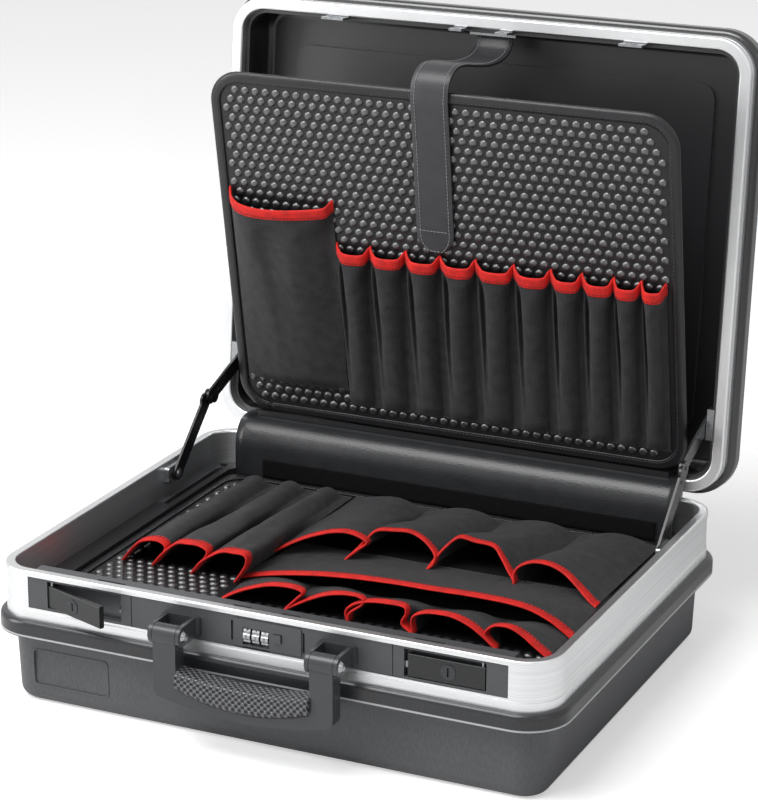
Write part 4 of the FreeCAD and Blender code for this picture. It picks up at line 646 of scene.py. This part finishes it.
def sew_sleeves(name, tape_name, seams, foot, mouth_edge, mouths, per_sleeve, seed, place, body, end_rise=6,
                bellies=None, end=ROUND_END, sag=4, lift=0.45, folds=1.0):
    """A row of cloth sleeves with a red tape folded over their mouths and sewn through, and a stitched foot."""
    skin = sleeve_skin(seams, foot, mouth_edge, lift, end_rise, mouths, bellies, end, sag, folds, seed)
    toward = math.copysign(1, mouth_edge[0] - foot)
    length = abs(sum(mouth_edge) / len(mouth_edge) - foot) * MM
    columns = per_sleeve * len(mouths)
    cloth, cloth_flat = cloth_grid(name + "_cloth", columns, max(16, int(length / (4.5 * MM))), skin)
    thicken(cloth, CLOTH_THICKNESS)
    finish(seat(cloth, place), pocket_polyester, body, "leatherette", name)
    folded = [(TAPE_OUTSIDE, 0.62), (TAPE_OUTSIDE * 0.8, 0.8), (TAPE_OUTSIDE * 0.45, 0.85), (1.6 * MM, 0.85),
              (0.3 * MM, 0.7), (-0.6 * MM, 0.3), (-0.6 * MM, -0.3), (0.3 * MM, -0.7), (1.6 * MM, -0.85),
              (TAPE_INSIDE * 0.6, -0.8), (TAPE_INSIDE, -0.62)]

    def on_skin(across, down, off):
        up = 1 - down / length
        return skin(across, up) + skin_normal(skin, across, up, toward) * off * MM

    def tape_skin(across, over):
        down, off = along(folded, over)
        return on_skin(across, down, off)

    tape, tape_flat = cloth_grid(tape_name + "_tape", columns, len(folded) * 2, tape_skin)
    thicken(tape, TAPE_THICKNESS)
    finish(seat(tape, place), red_tape, body, "red_binding", tape_name)
    steps = columns * 2
    seam_down = TAPE_OUTSIDE * 0.74
    route = [on_skin(step / steps, seam_down, 1.12) for step in range(steps + 1)]
    facing = [skin_normal(skin, step / steps, 1 - seam_down / length, toward) for step in range(steps + 1)]
    stitches = finish(seat(sew(tape_name + "_stitches", route, facing), place), red_thread, body, "red_binding")
    foot_route = [skin(step / steps, 2.5 * MM / length) + Vector((0, 0, 0.35 * MM)) for step in range(steps + 1)]
    hem = sew(name + "_foot_stitches", foot_route, [Vector((0, 0, 1))] * (steps + 1))
    finish(seat(hem, place), black_thread, body, "leatherette")


LARGE_SEAMS = (-195, -99.5)
SMALL_SEAMS = (-98.5, -67.5, -35.0, -4.0, 27.5, 61.5, 94.0, 121.0, 148.5, 172.0, 192.5)
sew_sleeves("large_pocket", "large_pocket_binding", LARGE_SEAMS, 30, (212, 210),
            spread_out(SCOOPED_MOUTH, LARGE_SEAMS, 19), 64, 1.5, lid_board_place, "lid_board", 9,
            spread_out(SCOOPED_BELLY, LARGE_SEAMS, 17), ROUND_END, 9, folds=1.3)
sew_sleeves("small_pockets", "small_pocket_bindings", SMALL_SEAMS, 17, [171.5] * 11,
            spread_out(PLEATED_MOUTH, SMALL_SEAMS, 13), 30, 2.5, lid_board_place, "lid_board", 6,
            spread_out(PLEATED_BELLY, SMALL_SEAMS, 12), PLEATED_END, 4.5, folds=0.5)
sew_sleeves("left_pockets", "left_pocket_bindings", (-184, -150, -115.5, -81), 148, (-66, -68, -70, -72),
            LEFT_MOUTHS, 40, 3.5, base_board_place, "base_board", 9, None, NARROW_END, 3)
sew_sleeves("rear_pockets", "rear_pocket_bindings", (-77, -8.5, 60, 128.5, 197), 148, (-8, 6, 16, 16, 2),
            REAR_MOUTHS, 52, 4.5, base_board_place, "base_board", 9, None, ROUND_END, 20, lift=1.4)
sew_sleeves("long_pocket", "long_pocket_binding", (-77, 197), 34, (-61.5, -61.5),
            LONG_MOUTHS, 110, 5.5, base_board_place, "base_board", 1, None, ROUND_END, 3)
sew_sleeves("front_pockets", "front_pocket_bindings", (-77, -22, 33, 88, 142, 197), -46, [-107.5] * 6,
            FRONT_MOUTHS, 44, 6.5, base_board_place, "base_board", 5, None, ROUND_END, 3, folds=0.7)


# Strap from the lid's front wall over the board's top edge
STRAP_HALF, STRAP_THICKNESS = 16.3 * MM, 2.2 * MM


def on_lid_board(x, up, off):
    """A place given across, up and off the lid board's face, in millimetres."""
    return lid_board_place @ (Vector((x, up, off)) * MM)


# Down the board's face and over its top edge, then through the air to the plate on the lid's front wall
STRAP_ON_BOARD = ((-6.7, 175, 2.7), (-6.2, 200, 2.7), (-5.4, 235, 2.7), (-4.6, 268, 2.8), (-4.0, 296, 3.2),
                  (-3.6, 313, 3.0), (-3.0, 325, -1.5), (-2.0, 331, -12), (-0.6, 330, -26))
STRAP_TO_LID = ((1.0, 176, 460), (2.6, 200, 456.5), (4.2, 221, 457), (5.4, 234, 462), (6.0, 240, 471.5))
STRAP_ROUTE = [*[on_lid_board(*point) for point in STRAP_ON_BOARD], *[Vector(point) * MM for point in STRAP_TO_LID]]


def strap_middle(share):
    """The strap's middle line, from its free end to the lid."""
    return Vector(along([tuple(point) for point in STRAP_ROUTE], share))


def strap_skin(across, share):
    """The strap's face: level across, round at its free end, a little fuller in the middle than at its edges."""
    middle = strap_middle(share)
    ahead = strap_middle(min(share + 0.004, 1)) - strap_middle(max(share - 0.004, 0))
    run = (middle - strap_middle(0)).length
    half = STRAP_HALF
    if run < STRAP_HALF and share < 0.3:
        half = math.sqrt(max(STRAP_HALF ** 2 - (STRAP_HALF - run) ** 2, (0.8 * MM) ** 2))
    side = Vector((1, 0, 0))
    facing = side.cross(ahead).normalized()
    level = across * 2 - 1
    return middle + side * level * half + facing * (0.5 * MM) * (1 - level ** 4)


def spread_rows(share):
    """Rows close together round the free end, and even after it."""
    return share ** 1.6


strap, strap_flat = cloth_grid("strap", 12, 170, lambda across, share: strap_skin(across, spread_rows(share)))
thicken(strap, STRAP_THICKNESS)
apply_modifier(strap, "BEVEL", width=0.6 * MM, segments=2, limit_method="ANGLE", angle_limit=math.radians(50))
shade_smooth(strap, 40)
finish(strap, strap_hide, None, "leatherette", "strap_tab", "strap_bridge")

# Two seams in one thread: down one edge of the strap from the lid, and up the other
SEAM_SPREAD, SEAM_STEPS, SEAM_END = 0.78, 150, 7
THREAD_RISE = 1.15 * MM
strap_facing = []
strap_seam = []
for side, order in ((0, range(SEAM_STEPS, SEAM_END, -1)), (1, range(SEAM_END, SEAM_STEPS + 1))):
    for step in order:
        share = spread_rows(step / SEAM_STEPS)
        across = 0.5 + (side - 0.5) * SEAM_SPREAD
        here = strap_skin(across, share)
        facing = (strap_skin(across + 0.02, share) - here).cross(strap_skin(across, share + 0.004) - here).normalized()
        strap_seam.append(here + facing * THREAD_RISE)
        strap_facing.append(facing)
strap_stitches = sew("strap_stitches", strap_seam, strap_facing, 3.2 * MM)
finish(strap_stitches, grey_thread, None, "leatherette")
cross_share = next(step / 400 for step in range(400) if strap_middle(step / 400).z > on_lid_board(0, 193, 0).z)
cross_facing = lid_board_place.to_3x3() @ Vector((0, 0, 1))
cross_route = [strap_skin(0.5 + (step / 10 - 0.5) * SEAM_SPREAD, cross_share) + cross_facing * THREAD_RISE
               for step in range(11)]
cross_stitches = sew("strap_cross_stitches", cross_route, [cross_facing] * 11, 3.2 * MM)
finish(cross_stitches, grey_thread, "lid_board", "leatherette")
LID_END, BOARD_END = tuple(on_lid_board(0, 315, -88.5)), tuple(on_lid_board(0, 315, 1.5))
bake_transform(strap)
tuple(LID_END)
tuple(BOARD_END)
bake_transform(strap_stitches)
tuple(LID_END)
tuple(BOARD_END)


# Hinge cover and its hook strip
COVER_HALF, COVER_THICKNESS = 201.5 * MM, 1.6 * MM
COVER_ROUTE = ((163.0, 77.5), (163.0, 88), (163.1, 98), (163.4, 108), (165.0, 115.5), (169.0, 122.0), (175.0, 126.6),
               (182.6, 128.6), (191.0, 128.4), (198.4, 127.5))


def cover_skin(across, up):
    """The cover bulges up from the lower board's rear and runs back to the lid, with slack near its ends."""
    y, z = along(COVER_ROUTE, up)
    level = across * 2 - 1
    slack = noise.noise(Vector((across * 5, up * 2, 8.5))) * 0.5 * math.sin(math.pi * up)
    return Vector((level * COVER_HALF, (y - slack) * MM, (z + slack * 0.5) * MM))


cover, cover_flat = cloth_grid("hinge_cover_hide", 60, 40, cover_skin)
thicken(cover, COVER_THICKNESS)
finish(cover, cover_hide, None, "leatherette", "hinge_cover")
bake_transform(cover)


def hook_skin(across, up):
    """The hook strip stands along the cover's foot, a little frayed along its edges."""
    fray = noise.noise(Vector((across * 160, up * 3, 9.5))) * 0.25 * MM
    wave = noise.noise(Vector((across * 60, up * 6, 3))) * 0.2 * MM
    return Vector(((-174.5 + 362 * across) * MM, 161.2 * MM + wave, (81.9 + 15.6 * up) * MM + fray))


hook_tape_strip, hook_flat = cloth_grid("hook_strip_pile", 240, 8, hook_skin)
thicken(hook_tape_strip, 1.4 * MM)
finish(hook_tape_strip, hooks, "base", "hook_and_loop", "hook_strip")
fastener, fastener_flat = cloth_grid("strap_fastener_pile", 14, 14, lambda across, up: on_lid_board(
    -17 + 24 * across, 180 + 24 * up, 1.0))
thicken(fastener, 1.4 * MM)
finish(fastener, hooks, "lid_board", "hook_and_loop", "strap_fastener")


# Sewn edge of each board: hide folded over the edge, stitched through near its inner rim
EDGE_COVER, EDGE_THICKNESS = 8.0 * MM, 0.7 * MM
EDGE_FOLDS = ((EDGE_COVER, 0.75 * MM), (6.0 * MM, 1.25 * MM), (3.4 * MM, 1.2 * MM), (1.1 * MM, 0.6 * MM),
              (-0.35 * MM, -0.6 * MM), (-0.4 * MM, -2.4 * MM), (1.0 * MM, -3.5 * MM), (4.4 * MM, -3.75 * MM),
              (EDGE_COVER, -3.45 * MM))


def outline_point(low, high, corner, share, inset):
    """A point on a rounded rectangle, drawn in by inset, at a share of the way round from its lower left."""
    width, height = high[0] - low[0] - 2 * corner, high[1] - low[1] - 2 * corner
    arc = math.pi * corner / 2
    run = share % 1 * (2 * width + 2 * height + 4 * arc)
    left, right, below, above = low[0] + corner, high[0] - corner, low[1] + corner, high[1] - corner
    for straight, centre, out in ((width, (right, below, 0), (0, -1, 0)), (height, (right, above, 0), (1, 0, 0)),
                                  (width, (left, above, 0), (0, 1, 0)), (height, (left, below, 0), (-1, 0, 0))):
        centre, out = Vector(centre), Vector(out)
        ahead = Vector((-out.y, out.x, 0))
        if run <= straight:
            return centre - ahead * (straight - run) + out * (corner - inset)
        run -= straight
        if run <= arc:
            turn = run / corner
            return centre + (out * math.cos(turn) + ahead * math.sin(turn)) * (corner - inset)
        run -= arc
    return centre + out * (corner - inset)


def edge_board(name, low, high, corner, place, body):
    """Hide round a board from its low to its high corner, with its row of stitches."""
    low, high, corner = area_mm(*low), area_mm(*high), corner * MM

    def edge_skin(across, over):
        inset, off = along(EDGE_FOLDS, over)
        crumple = noise.noise(Vector((across * 90, over * 3, 1.7))) * 0.12 * MM
        return outline_point(low, high, corner, across, inset) + Vector((0, 0, off + crumple * (1 if off > 0 else 0)))

    columns = 330
    hide, hide_flat = cloth_grid(name + "_hide", columns, 18, edge_skin)
    only(hide)
    bpy.ops.object.mode_set(mode="EDIT")
    bpy.ops.mesh.select_all(action="SELECT")
    bpy.ops.mesh.remove_doubles(threshold=0.01 * MM)
    bpy.ops.object.mode_set(mode="OBJECT")
    thicken(hide, EDGE_THICKNESS)
    finish(seat(hide, place), binding_hide, body, "leatherette", name)
    rim = [outline_point(low, high, corner, step / 700, EDGE_COVER - 2 * MM) + Vector((0, 0, 1.5 * MM))
           for step in range(701)]
    stitches = finish(seat(sew(name + "_stitches", rim, [Vector((0, 0, 1))] * 700), place), black_thread, body,
                      "leatherette")


edge_board("lid_board_binding", (-205, 0), (205, 315), 28, lid_board_place, "lid_board")
edge_board("base_board_binding", (-205.6, -160.6), (205.6, 159.3), 28, base_board_place, "base_board")


# Figures printed round each dial, one between each pair of flutes
DIAL_RADIUS, DIAL_PLACE = 9.0 * MM, Vector((0, -179.3, 93.5)) * MM


def model_figure(figure):
    """One figure as a thin raised plate, centred, with its face towards +Z."""
    nothing_selected()
    bpy.ops.object.text_add()
    letter = bpy.context.object
    letter.data.body = str(figure)
    letter.data.size = 3.9 * MM
    letter.data.align_x = "CENTER"
    letter.data.align_y = "CENTER"
    letter.data.extrude = 0.1 * MM
    letter.data.resolution_u = 2
    bpy.ops.object.convert(target="MESH")
    letter = bpy.context.object
    pattern = letter.data.copy()
    bpy.data.objects.remove(letter)
    return pattern


for body, dial_x in (("dial_left", -10.2), ("dial_middle", -2.7), ("dial_right", 4.8)):
    figures = []
    for figure in range(10):
        turn = Matrix.Rotation(math.tau * figure / 10, 4, "X") @ Matrix.Rotation(math.pi / 2, 4, "X")
        centre = Matrix.Translation(Vector((dial_x * MM, 0, 0)) + DIAL_PLACE)
        figures.append(many(body + "_figure_" + str(figure), model_figure(figure),
                            [centre @ turn @ Matrix.Translation((0, 0, DIAL_RADIUS - 0.05 * MM))]))
    only(figures[0])
    for piece in figures:
        piece.select_set(True)
    bpy.ops.object.join()
    figures[0].name = figures[0].data.name = body + "_figures"
    finish(figures[0], printed_black, body, "dial_plastic")


# Raised lip round the bare recess in the base's front
def frame_recess(name, centre, size, corner, tilt, body):
    """A narrow rounded lip that stands round a recess on a leaning wall."""
    width, height = size
    section = ((0.0, -0.3), (0.0, 0.25), (0.3, 0.55), (0.9, 0.6), (1.3, 0.35), (1.5, -0.3))

    def lip(across, over):
        out, off = along(section, over)
        half = Vector((width / 2, height / 2, 0)) * MM
        point = outline_point(-half, half, corner * MM, across, -out * MM)
        return point + Vector((0, 0, off * MM))

    piece, _ = cloth_grid(name, 200, 10, lip)
    only(piece)
    bpy.ops.object.mode_set(mode="EDIT")
    bpy.ops.mesh.select_all(action="SELECT")
    bpy.ops.mesh.remove_doubles(threshold=0.01 * MM)
    bpy.ops.mesh.normals_make_consistent(inside=False)
    bpy.ops.object.mode_set(mode="OBJECT")
    shade_smooth(piece, 40)
    lean = Matrix(((1, 0, 0), (0, -math.sin(tilt), -math.cos(tilt)), (0, math.cos(tilt), -math.sin(tilt)))).to_4x4()
    return finish(seat(piece, Matrix.Translation(centre) @ lean), base_abs, body, "black_abs")


frame_recess("label_recess_lip", Vector((-168.5, -179.35, 31)) * MM, (65, 29), 3, math.radians(2.4), "base")


# The photograph's view
VIEW_TURN, VIEW_RISE, VIEW_ROLL = (math.radians(angle) for angle in (24.689, 18.261, 0.274))
VIEW_DISTANCE, VIEW_RIGHT, VIEW_UP = 2.2732, 0.01026, 0.07114
SENSOR_WIDTH = 36
VIEW_LENS = 2862.1 * SENSOR_WIDTH / 800


def make_camera():
    """The camera where the photographer stood, a little turned about its own line of sight."""
    back = Vector((math.sin(VIEW_TURN) * math.cos(VIEW_RISE), -math.cos(VIEW_TURN) * math.cos(VIEW_RISE),
                   math.sin(VIEW_RISE)))
    level = Vector((math.cos(VIEW_TURN), math.sin(VIEW_TURN), 0))
    upright = back.cross(level)
    right = math.cos(VIEW_ROLL) * level + math.sin(VIEW_ROLL) * upright
    up = math.cos(VIEW_ROLL) * upright - math.sin(VIEW_ROLL) * level
    place = back * VIEW_DISTANCE + level * VIEW_RIGHT + upright * VIEW_UP + Vector((0, 0, 0.15))
    turn = Matrix((right, up, back)).transposed().to_4x4()
    data = bpy.data.cameras.new("view")
    data.lens = VIEW_LENS
    data.sensor_width = SENSOR_WIDTH
    camera = bpy.data.objects.new("view", data)
    scene.collection.objects.link(camera)
    camera.matrix_world = Matrix.Translation(place) @ turn
    scene.camera = camera


def make_lamp(name, place, target, size, watts):
    """A soft box that faces a target."""
    data = bpy.data.lights.new(name, "AREA")
    data.shape = "RECTANGLE"
    data.size, data.size_y = size
    data.energy = watts
    lamp = bpy.data.objects.new(name, data)
    scene.collection.objects.link(lamp)
    aim = Vector(target) - Vector(place)
    lamp.matrix_world = Matrix.Translation(place) @ aim.to_track_quat("-Z", "Y").to_matrix().to_4x4()


SKY_ON_OBJECT, SKY_IN_GLOSS, FLOOR_GLOW = 0.3, 0.74, 0.45


def make_studio():
    """White room: pale floor, soft boxes above and beside the case, and a white background for the camera."""
    world = bpy.data.worlds.new("studio")
    scene.world = world
    world.use_nodes = True
    tree = world.node_tree
    ray = add(tree, "LightPath")
    seen = add(tree, "Math", {"operation": "MAXIMUM"}, {0: ray["Is Camera Ray"], 1: ray["Is Transmission Ray"]})[0]
    mirrored = add(tree, "Math", {"operation": "MULTIPLY", 1: SKY_IN_GLOSS}, {0: ray["Is Glossy Ray"]})[0]
    most = add(tree, "Math", {"operation": "MAXIMUM"}, {0: seen, 1: mirrored})[0]
    strength = add(tree, "Math", {"operation": "MAXIMUM", 1: SKY_ON_OBJECT}, {0: most})[0]
    sky = tree.nodes["Background"]
    sky.inputs["Color"].default_value = linear("FFFFFF")
    tree.links.new(strength, sky.inputs["Strength"])
    make_lamp("overhead_box", (-0.5, -0.9, 2.0), (0, 0.05, 0.2), (1.6, 1.2), 40)
    make_lamp("left_box", (-1.9, -1.3, 0.9), (0, 0, 0.15), (0.9, 1.4), 24)
    make_lamp("right_box", (1.9, -0.9, 1.1), (0, 0, 0.2), (0.9, 1.4), 2.5)
    nothing_selected()
    bpy.ops.mesh.primitive_plane_add(size=12, location=(0, 0, 0))
    floor = bpy.context.object
    floor.name = "floor"
    made, floor_tree, shader = finish_of("paper_backdrop", "F4F4F4", 0.9)
    shader.inputs["Emission Color"].default_value = linear("FFFFFF")
    glow = add(floor_tree, "Math", {"operation": "MULTIPLY", 1: FLOOR_GLOW},
               {0: add(floor_tree, "LightPath")["Is Camera Ray"]})[0]
    floor_tree.links.new(glow, shader.inputs["Emission Strength"])
    floor.data.materials.append(made)


make_camera()
make_studio()
scene.view_settings.view_transform = "Standard"
